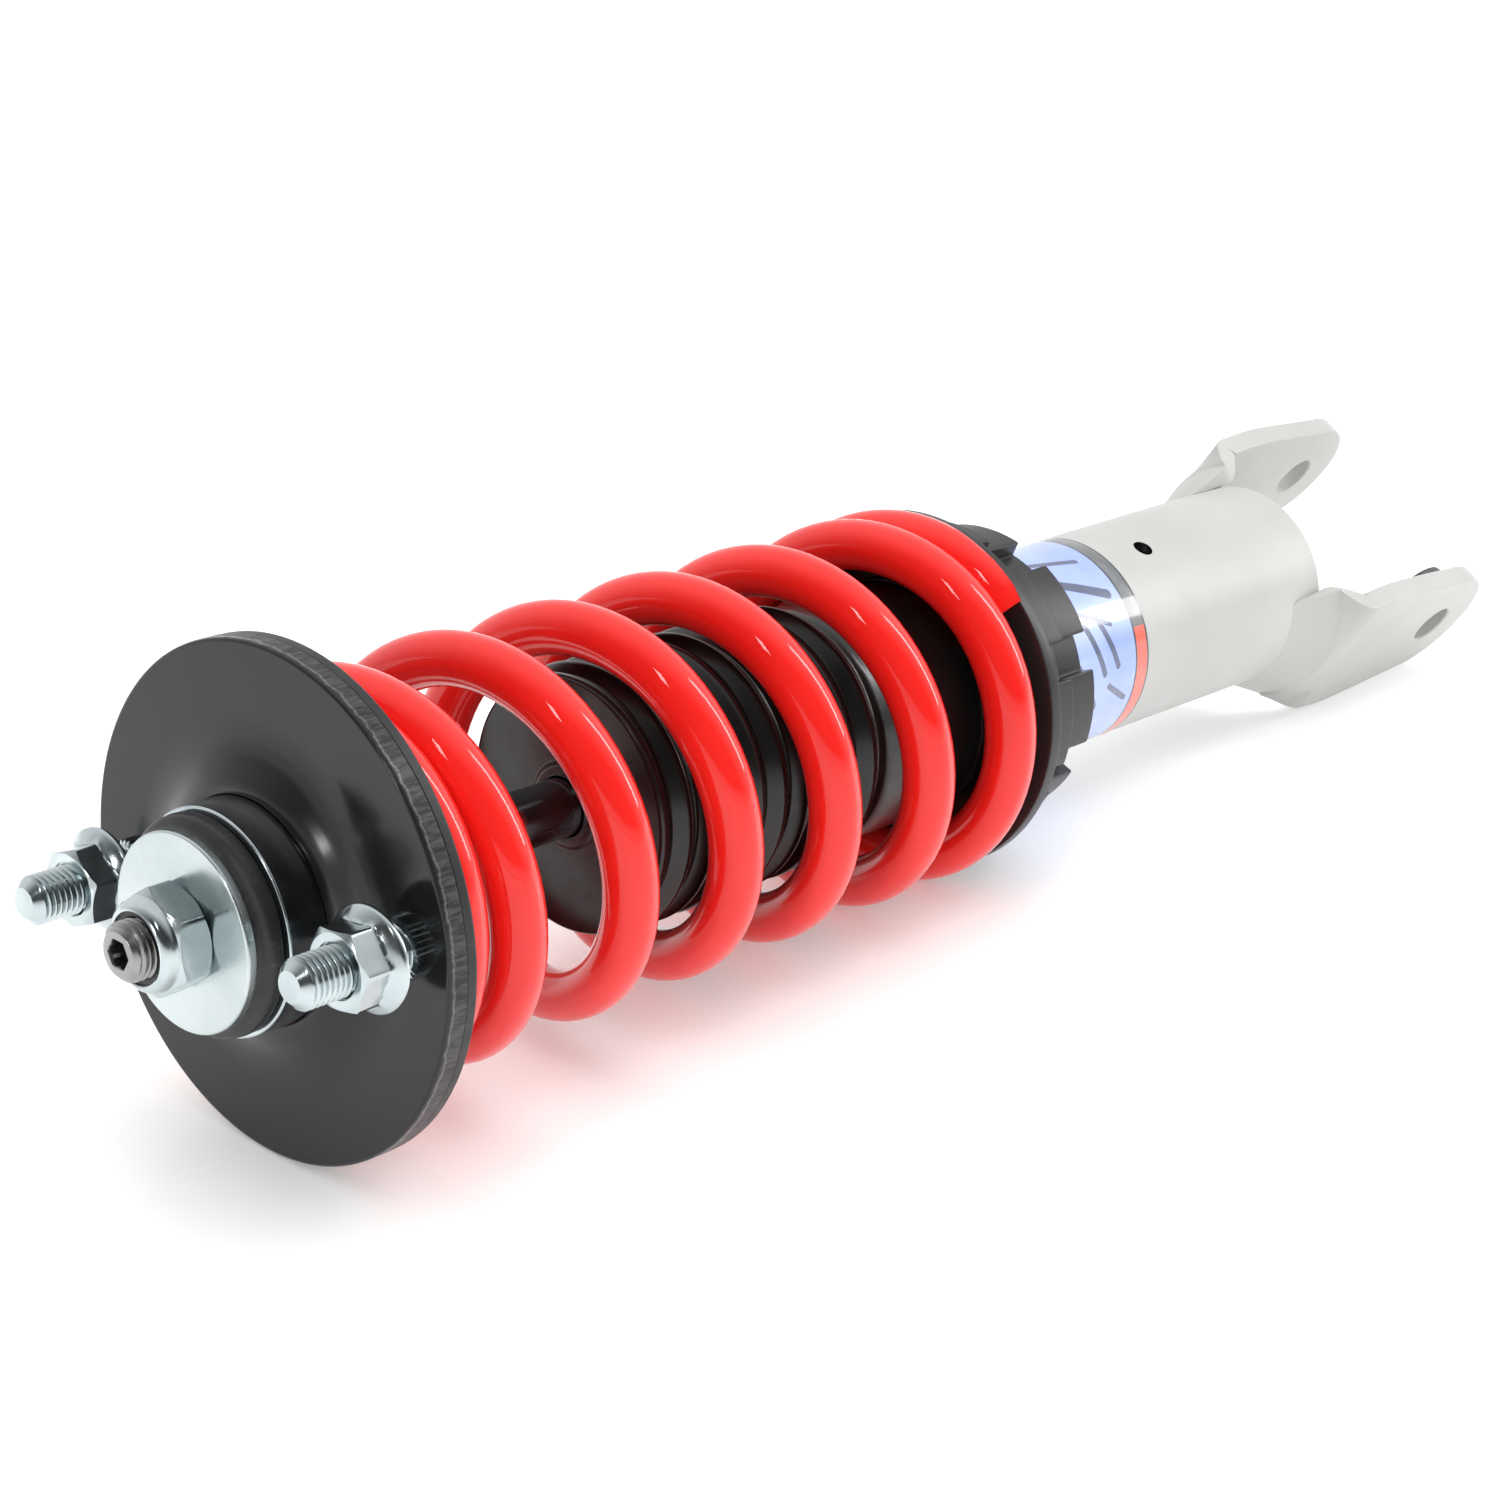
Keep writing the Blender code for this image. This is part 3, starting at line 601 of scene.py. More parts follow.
def build_plate(stud_centres):
    hub_bore = SHELL_R + 0.1
    profile = [
        (0.0, PLATE_R, 0.9), (0.0, HUB_FOOT_R + 0.6, 2.5), (-0.9, HUB_FOOT_R - 4.6, 2.5),
        (-2.9, HUB_FOOT_R - 9.0, 2.0), (HUB_TOP_X, hub_bore + 1.2, 1.0), (HUB_TOP_X, hub_bore, 0.3),
        (HUB_TOP_X + PLATE_T, hub_bore, 0.3), (HUB_TOP_X + PLATE_T + 0.6, hub_bore + 2.0, 0.5),
        (PLATE_T, HUB_FOOT_R - 3.5, 2.0), (PLATE_T, PLATE_R, 0.25),
    ]
    plate = lathe(
        "upper_mount_plate", "mount", "black_paint", profile, 200,
        second=("sheared_edge", lambda c: math.hypot(c.y, c.z) > PLATE_R - 0.35 and c.x > 0.3),
    )
    insulator = lathe(
        "mount_insulator", "mount", "rubber",
        [(PLATE_T + TOUCH, 30.0), (INSULATOR_END, 30.0, 0.3), (INSULATOR_END, PLATE_R - 0.1, 0.7),
         (PLATE_T + TOUCH, PLATE_R - 0.1, 0.3)], 200,
    )
    for centre in stud_centres:
        middle = Vector((PLATE_T, *centre)) * MM
        place = Matrix.Translation(middle) @ Matrix.Rotation(math.pi / 2, 4, "Y")
        drill(plate, STUD_R + 0.75, 20.0, place)
        drill(insulator, STUD_HEAD_R + 0.4, 20.0, place)
    for piece in (plate, insulator):
        keep_flats_flat(piece)


def build_stud(side, centre):
    """A press-in stud with a rolled thread, a serrated root and a thin head."""
    steps = 180
    angle = np.arange(steps) * TAU / steps
    flat = 0 * angle
    serrated = STUD_R + 1.0 + 0.3 * np.cos(STUD_TEETH * angle)
    head_x = PLATE_T + TOUCH
    thread_end = -2.2
    thread = screw_thread(
        STUD_TIP_X, thread_end, STUD_R, STUD_PITCH, steps, (3.1, 1.9), (STUD_R - 0.2, 1.0), centre
    )
    before = [(STUD_TIP_X, flat), (STUD_TIP_X, flat + 3.1)]
    after = [
        (thread_end, flat + STUD_R - 0.2), (-2.1, flat + STUD_R - 0.1), (-1.9, serrated), (-TOUCH, serrated),
        (-TOUCH, flat + STUD_R + 0.5), (head_x, flat + STUD_R + 0.5), (head_x, flat + STUD_HEAD_R),
        (head_x + 1.5, flat + STUD_HEAD_R), (head_x + 2.0, flat + STUD_HEAD_R - 0.5), (head_x + 2.0, flat),
    ]
    points, faces = with_thread(before, thread, after, steps, centre)
    name = "mount_stud_" + side
    keep_flats_flat(make_piece(name, "mount", "zinc", points, faces, name))


def build_stud_nut(side, centre, turn):
    steps = 120
    hex_r = hexagon(STUD_NUT_FLATS, steps, turn)
    flat = 0 * hex_r
    face_r = STUD_NUT_FLATS / 2 * 0.96
    front = STUD_NUT_FRONT_X
    bore = STUD_R + 0.05
    rows = [
        (STUD_NUT_X, flat + bore + 0.6), (STUD_NUT_X, flat + 10.1), (STUD_NUT_X - 0.2, flat + 10.4),
        (STUD_NUT_X - 0.6, flat + 10.5), (STUD_NUT_X - 1.1, flat + 10.42), (STUD_NUT_X - 1.4, flat + 10.1),
        (STUD_NUT_X - 2.1, flat + 9.2), (STUD_NUT_X - 2.5, np.maximum(hex_r + 0.25, 8.3)),
        (STUD_NUT_X - 2.9, np.maximum(hex_r, 7.7)), (STUD_NUT_X - 3.3, hex_r),
        (front + (hex_r - face_r) * 0.6, hex_r), (front + 0.02, flat + face_r), (front, flat + face_r - 0.15),
        (front, flat + bore + 0.55), (front + 0.06, flat + bore + 0.45), (front + 0.5, flat + bore),
        (STUD_NUT_X - 0.5, flat + bore),
    ]
    points = polar_rows(rows, steps, centre)
    faces = grid_faces(len(rows), steps, wrap_rows=True)
    name = "stud_nut_" + side
    keep_flats_flat(make_piece(name, "mount", "zinc", points, faces, name))


def build_bush():
    bore = SHELL_R - SHELL_WALL
    lathe(
        "bush_outer_sleeve", "mount", "zinc_drawn",
        [(SHELL_FRONT_X, bore, 0.35), (SHELL_FRONT_X, SHELL_R, 0.5), (SHELL_BACK_X, SHELL_R, 0.4),
         (SHELL_BACK_X, bore, 0.3)],
        slot="zinc", second=("zinc", lambda c: c.x < SHELL_FRONT_X + 0.45),
    )
    rubber_r = bore - 0.1
    back = WASHER_X + WASHER_T + TOUCH
    lathe(
        "upper_rubber_bush", "mount", "rubber",
        [(back, SLEEVE_R), (back, 19.2, 0.3), (back + 1.1, 19.7, 0.6), (back + 1.9, 21.7, 0.9),
         (SHELL_FRONT_X - 1.0, 21.9, 1.0), (SHELL_FRONT_X - 0.1, rubber_r, 0.4), (-4.0, rubber_r),
         (-4.0, SLEEVE_R)],
    )
    lathe(
        "lower_rubber_bush", "mount", "rubber",
        [(-3.8, SLEEVE_R), (-3.8, rubber_r), (SHELL_BACK_X - 1.0, rubber_r, 0.8),
         (SHELL_BACK_X - 1.0, SLEEVE_R, 0.5)],
    )
    lathe(
        "lower_washer", "mount", "zinc_stamped",
        [(SHELL_BACK_X + TOUCH, 6.2), (SHELL_BACK_X + TOUCH, 15.5, 0.2), (SHELL_BACK_X + 2, 15.5, 0.5),
         (SHELL_BACK_X + 2, 6.2, 0.2)], SMALL_STEPS, slot="zinc",
    )
    lathe(
        "top_washer", "mount", "zinc_stamped",
        [(WASHER_X, 6.2), (WASHER_X, WASHER_R, 0.55), (WASHER_X + WASHER_T, WASHER_R, 0.15),
         (WASHER_X + WASHER_T, 6.2)],
        slot="zinc",
    )


def build_lock_nut():
    steps = 144
    hex_r = hexagon(LOCK_NUT_FLATS, steps, LOCK_NUT_TURN)
    flat = 0 * hex_r
    face_r = LOCK_NUT_FLATS / 2 * 0.985
    step, front = LOCK_NUT_STEP_X, LOCK_NUT_FRONT_X
    back = WASHER_X - TOUCH
    rows = [
        (back, flat + 6.25), (back, flat + 9.1), (back - 0.02, flat + 9.3),
        (back - (hex_r - 9.3) * 0.8, hex_r), (step + (hex_r - face_r) * 0.62, hex_r),
        (step + 0.02, flat + face_r), (step, flat + 9.24), (step - 0.12, flat + 9.14),
        (step - 0.9, flat + 9.1), (step - 1.7, flat + 8.95), (step - 2.3, flat + 8.62),
        (step - 2.75, flat + 8.18), (step - 3.0, flat + 7.75), (front, flat + 7.45),
        (front + 0.1, flat + 7.2), (front + 0.5, flat + 7.15), (front + 0.5, flat + 8.1),
        (step - 0.2, flat + 8.1), (step - 0.2, flat + 6.25),
    ]
    points = polar_rows(rows, steps)
    faces = grid_faces(len(rows), steps, wrap_rows=True)
    keep_flats_flat(make_piece("rod_lock_nut", "mount", "zinc", points, faces, "rod_lock_nut"))
    lathe(
        "nut_nylon_insert", "mount", "nylon",
        [(front + 0.6, 6.0, 0.2), (front + 0.6, 8.0), (step - 0.3, 8.0), (step - 0.3, 6.0)], SMALL_STEPS,
    )


def build_rod():
    steps = SMALL_STEPS * 2
    key = hexagon(KEY_FLATS, steps, blunt=0.99)
    flat = 0 * key
    tip, thread_end = ROD_TIP_X, -12.0
    thread = screw_thread(
        tip + 0.3, thread_end, ROD_THREAD_R, ROD_PITCH, steps, (4.75, 1.1), (ROD_THREAD_R, 1.0)
    )
    before = [
        (tip + 6.0, flat), (tip + 6.0, key * 0.98), (tip + 0.45, key), (tip, key + 0.35), (tip, flat + 4.3),
        (tip + 0.06, flat + 4.5), (tip + 0.3, flat + 4.75),
    ]
    after = [
        (thread_end, flat + ROD_THREAD_R), (ROD_SHOULDER_X, flat + ROD_THREAD_R),
        (ROD_SHOULDER_X, flat + 6.0), (ROD_SHOULDER_X + 0.25, flat + ROD_R), (ROD_SEAT_X - 0.3, flat + ROD_R),
        (ROD_SEAT_X, flat + ROD_R - 0.3), (ROD_SEAT_X, flat + ROD_END_R), (ROD_END_X - 0.8, flat + ROD_END_R),
        (ROD_END_X, flat + ROD_END_R - 0.8), (ROD_END_X, flat),
    ]
    points, faces = with_thread(before, thread, after, steps)
    rod = make_piece(
        "piston_rod", "mount", "rod_steel", points, faces, "piston_rod",
        second=("rod_thread", lambda c: c.x < ROD_SHOULDER_X),
    )
    keep_flats_flat(rod)


# ---- Spring and boot ----


def wire_station(turn):
    """x of the wire's centre at a turn: curves through the stations, straight where the pitch is even."""
    even = [(float(n), SPRING_PHASE_X + SPRING_PITCH * n) for n in (0, 1, 4, 5)]
    knots = CLOSED_TOP + even + CLOSED_BOTTOM
    last = len(knots) - 1
    slopes = []
    for index in range(len(knots)):
        before, after = knots[max(index - 1, 0)], knots[min(index + 1, last)]
        slopes.append((after[1] - before[1]) / (after[0] - before[0]))
    index = 0
    while index < last - 1 and turn > knots[index + 1][0]:
        index += 1
    (n0, x0), (n1, x1) = knots[index], knots[index + 1]
    span = n1 - n0
    t = (turn - n0) / span
    ease = t * t * (3 - 2 * t)
    start_pull = t * (1 - t) ** 2 * span * slopes[index]
    end_pull = t * t * (1 - t) * span * slopes[index + 1]
    return x0 + (x1 - x0) * ease + start_pull - end_pull


def build_spring():
    """The wire, swept along its helix. Each point's share of the stroke, which grows evenly over the open
    turns, is worked out but not used.
    """
    first, last = CLOSED_TOP[0][0], CLOSED_BOTTOM[-1][0]
    per_turn, sides = 72, 28
    turns = np.linspace(first, last, round((last - first) * per_turn) + 1)
    angle = turns * TAU
    centre_x = np.array([wire_station(turn) for turn in turns])
    centres = around_axis(centre_x, SPRING_MEAN_R, angle)
    outward = around_axis(0.0, 1.0, angle)
    tangent = np.gradient(centres, axis=0)
    tangent /= np.linalg.norm(tangent, axis=1)[:, None]
    sideways = np.cross(tangent, outward)
    section = np.arange(sides) * TAU / sides
    swing = np.cos(section)[None, :, None] * outward[:, None, :]
    swing += np.sin(section)[None, :, None] * sideways[:, None, :]
    radii = np.full(len(turns), WIRE_R)
    radii[[0, -1]] -= 0.5
    rows = centres[:, None, :] + swing * radii[:, None, None]
    rows[..., 0] = np.clip(rows[..., 0], SPRING_TOP_X, SEAT_X - TOUCH)
    points = rows.reshape(-1, 3)
    faces = grid_faces(len(turns), sides)
    faces.append(tuple(range(sides))[::-1])
    faces.append(tuple(range(len(points) - sides, len(points))))
    spring = make_piece("coil_spring", None, "red_paint", points, faces, sharp=60.0)
    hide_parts("coil_spring")
    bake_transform(spring)
    share = spring_shares(spring, turns, centres)


def spring_shares(spring, turns, centres):
    """Each point's share of the stroke, from the turn of the wire that it is nearest to."""
    count = len(spring.data.vertices)
    co = np.zeros(count * 3)
    spring.data.vertices.foreach_get("co", co)
    co = co.reshape(-1, 3) / MM
    nearest = np.zeros(count, int)
    for start in range(0, count, 2000):
        gaps = np.linalg.norm(co[start : start + 2000, None, :] - centres[None, :, :], axis=2)
        nearest[start : start + 2000] = gaps.argmin(axis=1)
    return np.clip((turns[nearest] - OPEN_TURNS[0]) / (OPEN_TURNS[1] - OPEN_TURNS[0]), 0, 1)


def build_boot():
    bore, rod_bore = 25.1, ROD_R + 0.3
    profile = [
        (BOOT_X - 1.4, rod_bore, 0.3), (BOOT_X - 1.4, 8.6, 0.6), (BOOT_X, 9.4, 0.5), (BOOT_X, 27.7, 0.9),
        (BOOT_FOLD_X - 1.6, 27.7, 0.6),
    ]
    for fold in range(BOOT_FOLDS):
        start = BOOT_FOLD_X + fold * BOOT_PITCH
        profile += [(start, BOOT_ROOT_R, 0.8), (start + BOOT_PITCH / 2, BOOT_CREST_R, 1.5)]
    folds_end = BOOT_FOLD_X + BOOT_FOLDS * BOOT_PITCH
    profile += [
        (folds_end, BOOT_ROOT_R, 0.8), (folds_end + 2.0, 27.0, 0.6), (BOOT_END_X - 4, 27.0, 0.3),
        (BOOT_END_X - 3.6, 27.5, 0.3), (BOOT_END_X, 27.5, 0.5), (BOOT_END_X, bore, 0.3),
        (BOOT_X + 2.0, bore, 0.8), (BOOT_X + 2.0, rod_bore, 0.3),
    ]
    lathe("dust_boot", "spring_seat", "boot_rubber", profile, slot="rubber")
    lathe(
        "spring_slip_washer", "spring_top", "nylon",
        [(INSULATOR_END + TOUCH, 30.2, 0.2), (INSULATOR_END + TOUCH, 43.2, 0.2),
         (SPRING_TOP_X - TOUCH, 43.2, 0.3), (SPRING_TOP_X - TOUCH, 30.2, 0.3)],
    )


# ---- Perch and lock ring ----


def notched_ring(name, body, outer_r, x0, x1, collar=None):
    """A ring with square notches for a hook spanner; collar = (x, radius) adds a full flange in front."""
    inner, floor_r = RING_BORE_R, outer_r - NOTCH_DEPTH
    period = TAU / NOTCHES
    half = {r: math.asin(NOTCH_W / 2 / r) for r in (floor_r, outer_r)}
    notch_cells, tooth_cells = 8, 14
    offsets = (np.arange(NOTCHES) + 0.5) * period

    def angles(radius):
        """Angles of a ring's points, with one point at every notch wall."""
        notch = np.linspace(-half[radius], half[radius], notch_cells + 1)[:-1]
        tooth = np.linspace(half[radius], period - half[radius], tooth_cells + 1)[:-1]
        return (offsets[:, None] + np.concatenate([notch, tooth])[None, :]).ravel()

    root, top = angles(floor_r), angles(outer_r)
    count = len(root)
    is_tooth = np.tile([False] * notch_cells + [True] * tooth_cells, NOTCHES)
    rings = {
        "bore_front": (x0, inner, root), "bore_back": (x1, inner, root), "floor_back": (x1, floor_r, root),
        "floor_front": (x0, floor_r, root), "top_front": (x0, outer_r, top), "top_back": (x1, outer_r, top),
    }
    notch_path = ["bore_front", "bore_back", "floor_back", "floor_front"]
    tooth_path = ["bore_front", "bore_back", "floor_back", "top_back", "top_front", "floor_front"]
    wall = ["floor_back", "top_back", "top_front", "floor_front"]
    if collar:
        rings["collar_bore"] = (collar[0], inner, root)
        rings["collar_front"] = (collar[0], collar[1], top)
        rings["collar_back"] = (x0, collar[1], top)
        collar_path = ["top_front", "collar_back", "collar_front"]
        notch_path = ["collar_bore", "bore_back", "floor_back", "floor_front"] + collar_path
        tooth_path = ["collar_bore", "bore_back", "floor_back", "top_back"] + collar_path
    names = list(rings)
    points = np.concatenate([around_axis(*rings[key]) for key in names])
    at = {key: names.index(key) * count for key in names}
    faces = []
    for j in range(count):
        k = (j + 1) % count
        path = tooth_path if is_tooth[j] else notch_path
        for one, two in zip(path, path[1:] + path[:1]):
            faces.append((at[one] + j, at[two] + j, at[two] + k, at[one] + k))
        if is_tooth[j] != is_tooth[k]:
            order = wall if is_tooth[j] else wall[::-1]
            faces.append(tuple(at[key] + k for key in order))
    obj = make_piece(name, body, "black_anodised", points, faces, name)
    edges = obj.modifiers.new("edges", "BEVEL")
    edges.width = 0.45 * MM
    edges.segments = 2
    edges.limit_method = "ANGLE"
    edges.angle_limit = math.radians(40)
    apply_modifiers(obj)
    shade(obj, SHARP_ANGLE)
    keep_flats_flat(obj)


def build_perch():
    notched_ring("spring_perch", "adjuster", PERCH_R, FLANGE_END_X, PERCH_END_X, collar=(SEAT_X, FLANGE_R))
    notched_ring("lock_ring", "lock", LOCK_R, LOCK_X, LOCK_END_X)


# ---- Damper ----


def build_body():
    steps = STEPS
    angle = np.arange(steps) * TAU / steps
    flat = 0 * angle
    neck_r = BODY_R - 1.4
    thread = screw_thread(
        THREAD_START_X, THREAD_END_X, BODY_R, BODY_PITCH, steps, (neck_r, 1.5), (BODY_R, 1.0), per_turn=6
    )
    before = [
        (BODY_TOP_X, flat + BODY_BORE_R), (BODY_TOP_X, flat + neck_r - 0.4),
        (BODY_TOP_X + 0.4, flat + neck_r), (THREAD_START_X, flat + neck_r),
    ]
    end = BODY_END_X
    after = [
        (THREAD_END_X, flat + BODY_R), (THREAD_END_X + 0.5, flat + BODY_R), (end - 0.9, flat + BODY_R),
        (end - 0.35, flat + BODY_R), (end - 0.1, flat + BODY_R - 0.1), (end, flat + BODY_R - 0.35),
        (end, flat + BODY_BORE_R + 0.3), (end - 0.3, flat + BODY_BORE_R),
    ]
    points, faces = with_thread(before, thread, after, steps, wrap=True)
    body = make_piece("damper_body", "damper", "silver_paint", points, faces, "damper_body")
    outward = Matrix.Rotation(math.radians(VALVE_CLOCK), 4, "X")
    drill(body, VALVE_HOLE_R, 8.0, outward @ Matrix.Translation((VALVE_X * MM, 0, BODY_R * MM)), 40)
    body.data.materials.append(FINISHES["machined_steel"])
    for face in body.data.polygons:
        x, y, z = face.center / MM
        inside = math.hypot(y, z) < BODY_R - 0.15 and THREAD_END_X + 1 < x < BODY_END_X - 1
        face.material_index = int(inside)
    keep_flats_flat(body)
    lathe(
        "body_label", "damper", "blue_film",
        [(LABEL_X, BODY_R + 0.04), (LABEL_X, LABEL_R, 0.05), (LABEL_END_X, LABEL_R, 0.05),
         (LABEL_END_X, BODY_R + 0.04)],
        200,
    )
    cap_r = BODY_BORE_R - 0.1
    lathe(
        "lower_end_cap", "damper", "silver_paint",
        [(END_CAP_X, 0), (END_CAP_X, cap_r), (END_CAP_X + 8, cap_r, 0.6), (END_CAP_X + 8, 17.0, 0.5),
         (END_CAP_X + 7, 16.2, 0.5), (END_CAP_X + 7, 0)],
        SMALL_STEPS,
    )


def ear_middle(x, across):
    """Distance of the ear's middle surface from the axis: round at the root, flat beyond the bend."""
    middle_r = BODY_R + 0.3 + EAR_T / 2
    saddle = np.sqrt(middle_r**2 - across**2)
    flat = FORK_GAP / 2 + EAR_T / 2
    t = np.clip((x - EAR_BEND_X) / (EAR_FLAT_X - EAR_BEND_X), 0, 1)
    ease = t * t * (3 - 2 * t)
    return saddle * (1 - ease) + flat * ease


def ear_point(x, across, height, clock):
    """A point at that height over the ear's middle surface, turned to the ear's clock angle.

    At the root the ear is ground down to the tube, and its inner face is sunk into the tube's wall.
    """
    feather = np.clip((EAR_FEATHER_END_X - x) / (EAR_FEATHER_END_X - EAR_ROOT_X), 0, 1)
    height = height - EAR_THINNED * feather * (height + EAR_T / 2) - EAR_SUNK * feather
    step = 0.01
    d_x = (ear_middle(x + step, across) - ear_middle(x - step, across)) / (2 * step)
    d_s = (ear_middle(x, across + step) - ear_middle(x, across - step)) / (2 * step)
    length = np.sqrt(d_x**2 + d_s**2 + 1)
    px = x - height * d_x / length
    ps = across - height * d_s / length
    pd = ear_middle(x, across) + height / length
    c, s = math.cos(math.radians(clock)), math.sin(math.radians(clock))
    return np.stack([px, ps * c - pd * s, ps * s + pd * c], -1)


def ear_outline(points_round):
    """Evenly spaced (x, across) points round the ear, its corners rounded."""
    tip_angles = np.linspace(0, math.pi, 33)
    tip = [(EAR_HOLE_X + EAR_TIP_R * math.sin(a), EAR_TIP_R * math.cos(a)) for a in tip_angles]
    corners = [
        (EAR_ROOT_X, -EAR_ROOT_HALF, 1.6), (EAR_ROOT_X, EAR_ROOT_HALF, 1.6), (EAR_WIDE_X, EAR_WIDE, 6.0)
    ]
    loop = np.array(filleted(corners + tip + [(EAR_WIDE_X, -EAR_WIDE, 6.0)], 6))
    closed = np.vstack([loop, loop[:1]])
    travel = np.concatenate([[0], np.cumsum(np.linalg.norm(np.diff(closed, axis=0), axis=1))])
    wanted = np.linspace(0, travel[-1], points_round, endpoint=False)
    return np.stack([np.interp(wanted, travel, closed[:, 0]), np.interp(wanted, travel, closed[:, 1])], -1)


def build_ear(name, clock):
    """A bent plate, as a closed grid: out over one face, round the edge, back, and through the bolt hole."""
    outline = ear_outline(220)
    from_hole = outline - np.array([EAR_HOLE_X, 0.0])
    distance = np.linalg.norm(from_hole, axis=1)
    heading = from_hole / distance[:, None]
    cells = 44
    half, edge, rim = EAR_T / 2, 0.7, 0.35
    shares = np.linspace(0, 1, cells + 1) ** 0.85
    section = [(share, half, 0) for share in shares]
    section += [(1.0, half - edge * (1 - math.cos(a)), edge * math.sin(a)) for a in (0.45, 0.95, math.pi / 2)]
    section += [(1.0, 0.0, edge)]
    section += [(share, -height, out) for share, height, out in section[-2::-1]]
    rows = []
    for share, height, out in section:
        start = BOLT_HOLE_R + rim
        reach = start + (distance - edge - start) * share + out
        rows.append(ear_point(EAR_HOLE_X + heading[:, 0] * reach, heading[:, 1] * reach, height, clock))
    for height in (-half + rim, half - rim):
        hole = np.array([EAR_HOLE_X, 0.0]) + heading * BOLT_HOLE_R
        rows.append(ear_point(hole[:, 0], hole[:, 1], height, clock))
    points = np.concatenate(rows)
    faces = grid_faces(len(rows), len(outline), wrap_rows=True)
    keep_flats_flat(make_piece(name, "damper", "silver_paint", points, faces, name))


def build_fork():
    for side, clock in (("right", FORK_CLOCK), ("left", FORK_CLOCK - 180)):
        build_ear("fork_ear_" + side, clock)
    steps = SMALL_STEPS
    face = FORK_GAP / 2 - TOUCH
    rows = filleted([
        (0.0, 5.1), (0.0, WELD_NUT_R, 0.3), (WELD_NUT_T, WELD_NUT_R, 0.9), (WELD_NUT_T, 5.1, 0.6),
    ])
    angle = np.arange(steps) * TAU / steps
    turned = math.radians(FORK_CLOCK - 180)
    points = []
    for depth, radius in rows:
        down = face - depth
        x = EAR_HOLE_X + radius * np.cos(angle)
        s = radius * np.sin(angle)
        points.append(np.stack([x, s * math.cos(turned) - down * math.sin(turned),
                                s * math.sin(turned) + down * math.cos(turned)], -1))
    nut = make_piece(
        "fork_weld_nut", "damper", "machined_steel", np.concatenate(points),
        grid_faces(len(rows), steps, wrap_rows=True), "fork_weld_nut",
    )
    keep_flats_flat(nut)


stud_centres = {}
for side, clock in (("left", STUD_CLOCK), ("right", STUD_CLOCK + 180)):
    a = math.radians(clock)
    stud_centres[side] = (-STUD_CIRCLE_R * math.sin(a), STUD_CIRCLE_R * math.cos(a))
build_plate(list(stud_centres.values()))
for side, centre in stud_centres.items():
    build_stud(side, centre)
    build_stud_nut(side, centre, math.radians(STUD_NUT_TURNS[side]))
build_bush()
build_lock_nut()
build_rod()
build_spring()
build_boot()
build_perch()
build_body()
build_fork()

KEPT_NODES = {
    "bush_inner_sleeve": "zinc",
    "bump_stop": "foam",
    "gland_nut": "black_anodised",
    "rod_guide": "machined_aluminium",
    "rod_seal": "rubber",
    "piston": "machined_steel",
    "piston_band": "nylon",
    "piston_nut": "zinc",
    "floating_piston": "machined_aluminium",
    "floating_piston_oring": "rubber",
}
for node_name, finish in KEPT_NODES.items():
    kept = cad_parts[node_name]
    kept.data.materials.clear()
    kept.data.materials.append(FINISHES[finish])


# ---- Floor, light and camera ----


def build_floor():
    """A pale floor laid against the plate's rim and the near ear's lowest corner."""
    rim = np.array([INSULATOR_END, 0.0, -PLATE_R])
    ear = np.array([v.co for v in bpy.data.objects["fork_ear_left"].data.vertices]) / MM
    slope = (ear[:, 2] - rim[2]) / (ear[:, 0] - rim[0])
    tilt = math.atan(slope.min())
    normal = np.array([-math.sin(tilt), 0.0, math.cos(tilt)])
    along = np.array([math.cos(tilt), 0.0, math.sin(tilt)])
    centre = rim - normal * 0.1 + along * 150.0
    size = 4000.0
    across = np.array([0.0, 1.0, 0.0])
    corners = [centre + size * (a * along + b * across) for a, b in ((-1, -1), (1, -1), (1, 1), (-1, 1))]
    mesh = bpy.data.meshes.new("floor")
    mesh.from_pydata([tuple(c * MM) for c in corners], [], [(0, 1, 2, 3)])
    floor = bpy.data.objects.new("floor", mesh)
    bpy.context.scene.collection.objects.link(floor)
    material, tree, shader = start_material("studio_floor")
    colour = blend_colours(tree, noise(tree, 6.0, 2.0), (0.90, 0.90, 0.90), (0.93, 0.93, 0.93))
    wire(tree, shader, Base_Color=colour, Roughness=0.28, Specular_IOR_Level=0.35)
    wire(tree, shader, Emission_Color=(1.0, 1.0, 1.0), Emission_Strength=0.22)
    mesh.materials.append(material)


def add_area(name, location, target, size, power):
    """A rectangular light, in metres and watts, that the camera doesn't see."""
    light = bpy.data.lights.new(name, "AREA")
    light.shape = "RECTANGLE"
    light.size, light.size_y = size
    light.energy = power
    obj = bpy.data.objects.new(name, light)
    bpy.context.scene.collection.objects.link(obj)
    way = np.array(target, float) - np.array(location, float)
    obj.rotation_euler = Vector(way).to_track_quat("-Z", "Y").to_euler()
    obj.location = location
    obj.visible_camera = False
    return obj


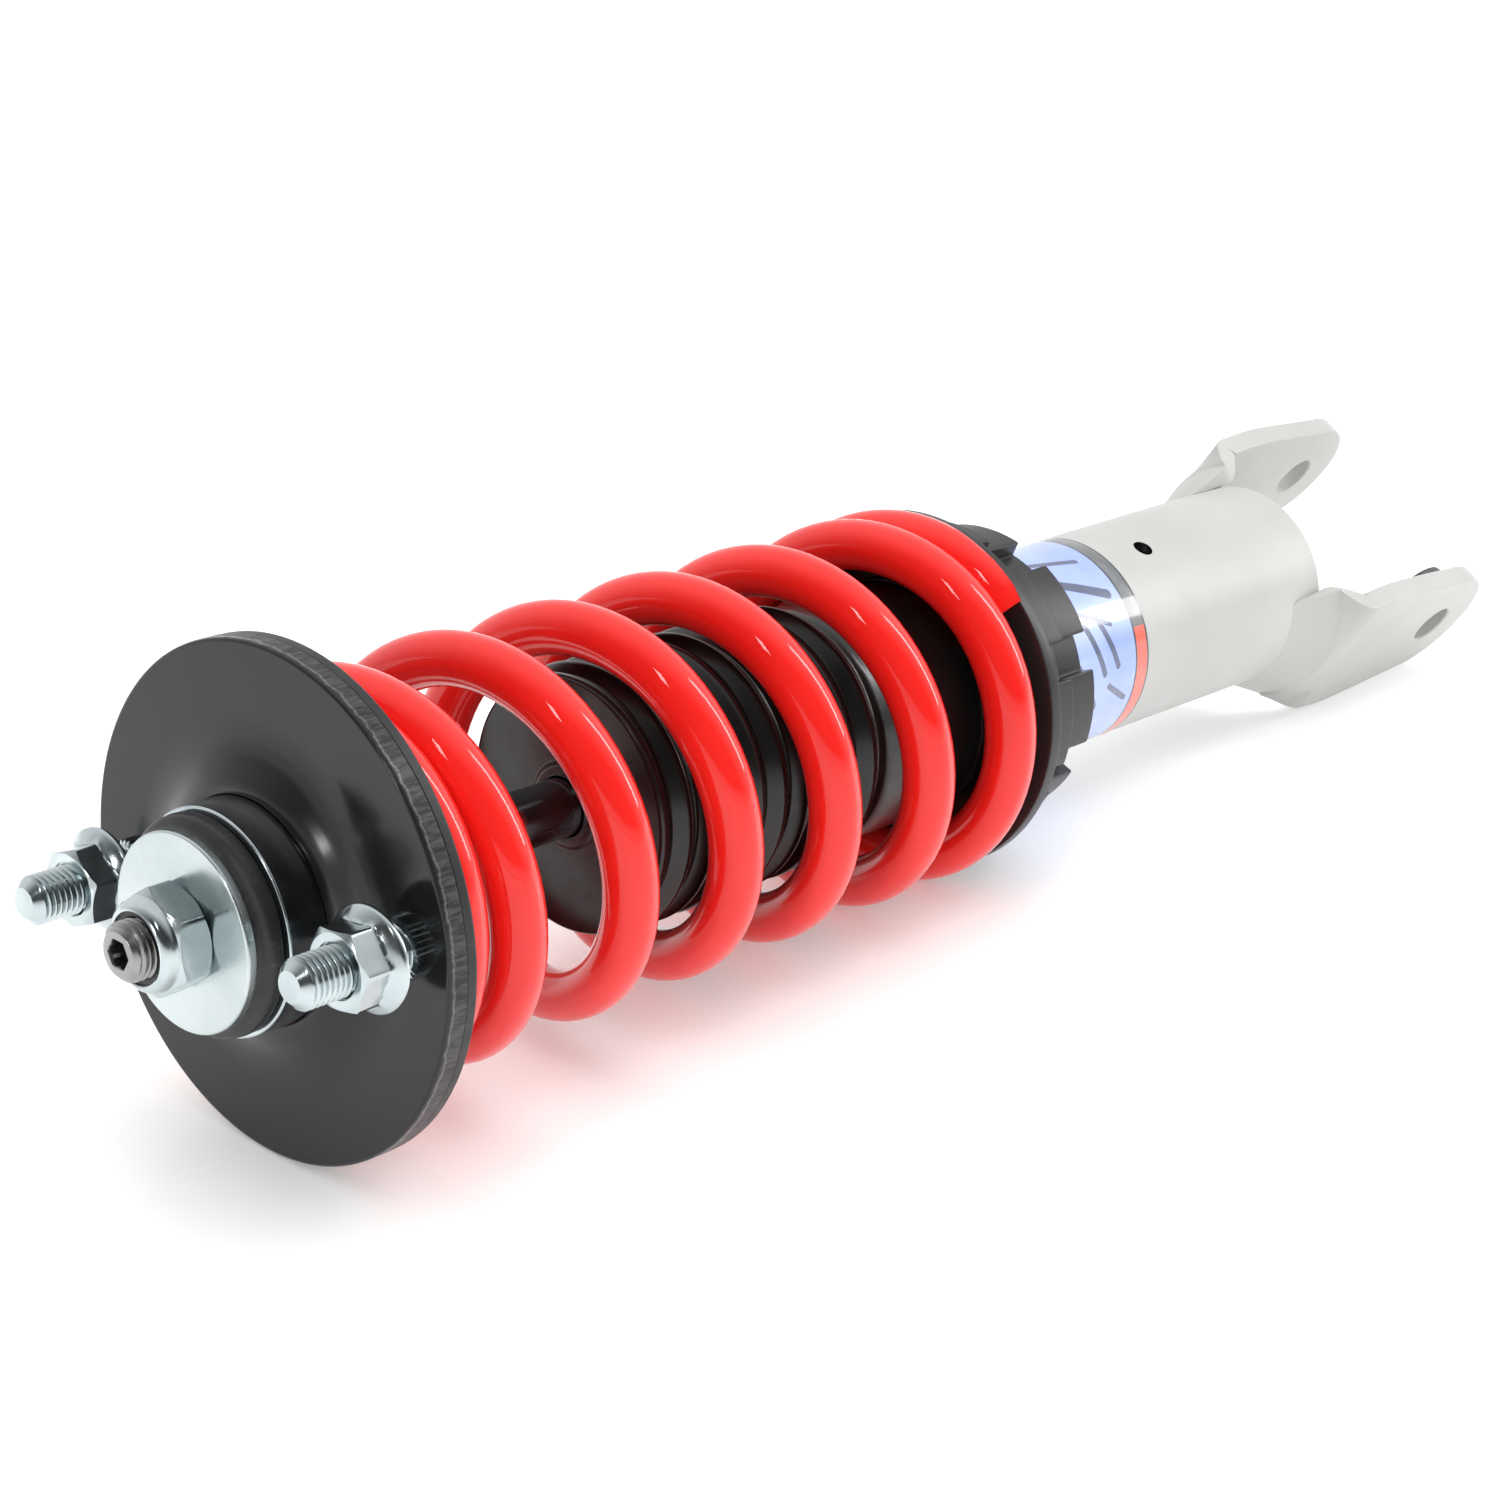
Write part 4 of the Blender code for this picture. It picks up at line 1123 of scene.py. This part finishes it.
def build_world():
    """A white studio: pale all round near the horizon and behind the object, dark above the camera's side."""
    world = bpy.data.worlds.new("studio")
    bpy.context.scene.world = world
    world.use_nodes = True
    tree = world.node_tree
    way = node(tree, "ShaderNodeTexCoord").outputs["Generated"]
    height = node(tree, "ShaderNodeSeparateXYZ", {0: way}).outputs[2]
    behind = vector_maths(tree, "DOT_PRODUCT", {0: way, 1: (0.70, 0.64, 0.30)}, "Value")
    far_side = remap(tree, behind, -0.35, 0.35, 0.0, 1.0)
    pale = maths(tree, "MAXIMUM", far_side, remap(tree, height, 0.02, 0.12, 1.0, 0.0))
    background = tree.nodes["Background"]
    tree.links.new(remap(tree, pale, 0.0, 1.0, DARK_SIDE, PALE_SIDE), background.inputs["Strength"])
    background.inputs["Color"].default_value = (1.0, 1.0, 1.0, 1.0)


def build_light():
    build_world()
    overhead = add_area("overhead_softbox", (0.2, 0.1, 1.6), (0.2, 0.1, 0), (2.5, 2.5), 26.0)
    fill = add_area("front_fill", (-0.5, -1.3, 0.5), (0.2, 0, 0), (1.6, 1.0), 10.0)
    for soft in (overhead, fill):
        soft.visible_glossy = False
    add_area("upper_window", (-1.2, 0.22, 0.22), (0.0, 0, 0), (0.09, 0.20), 1.3)
    add_area("left_strip", (-0.75, -0.25, 0.75), (0.05, 0, 0), (0.10, 0.25), 0.8)
    add_area("streak_strip", (0.94, -0.45, 0.55), (0.2, 0, 0), (0.14, 0.9), 3.5)


def build_camera():
    camera = bpy.data.objects.new("camera", bpy.data.cameras.new("camera"))
    bpy.context.scene.collection.objects.link(camera)
    right = (0.684546, -0.727396, 0.047868)
    up = (0.229491, 0.277368, 0.932953)
    forward = (0.691903, 0.627664, -0.356802)
    place = (-0.373819, -0.460908, 0.260597)
    camera.matrix_world = Matrix(
        [(right[i], up[i], -forward[i], place[i]) for i in range(3)] + [(0, 0, 0, 1)]
    )
    camera.data.sensor_width = 36.0
    camera.data.lens = 81.22
    camera.data.clip_start = 0.01
    bpy.context.scene.camera = camera


build_floor()
build_light()
build_camera()
bpy.context.scene.view_settings.view_transform = "Standard"
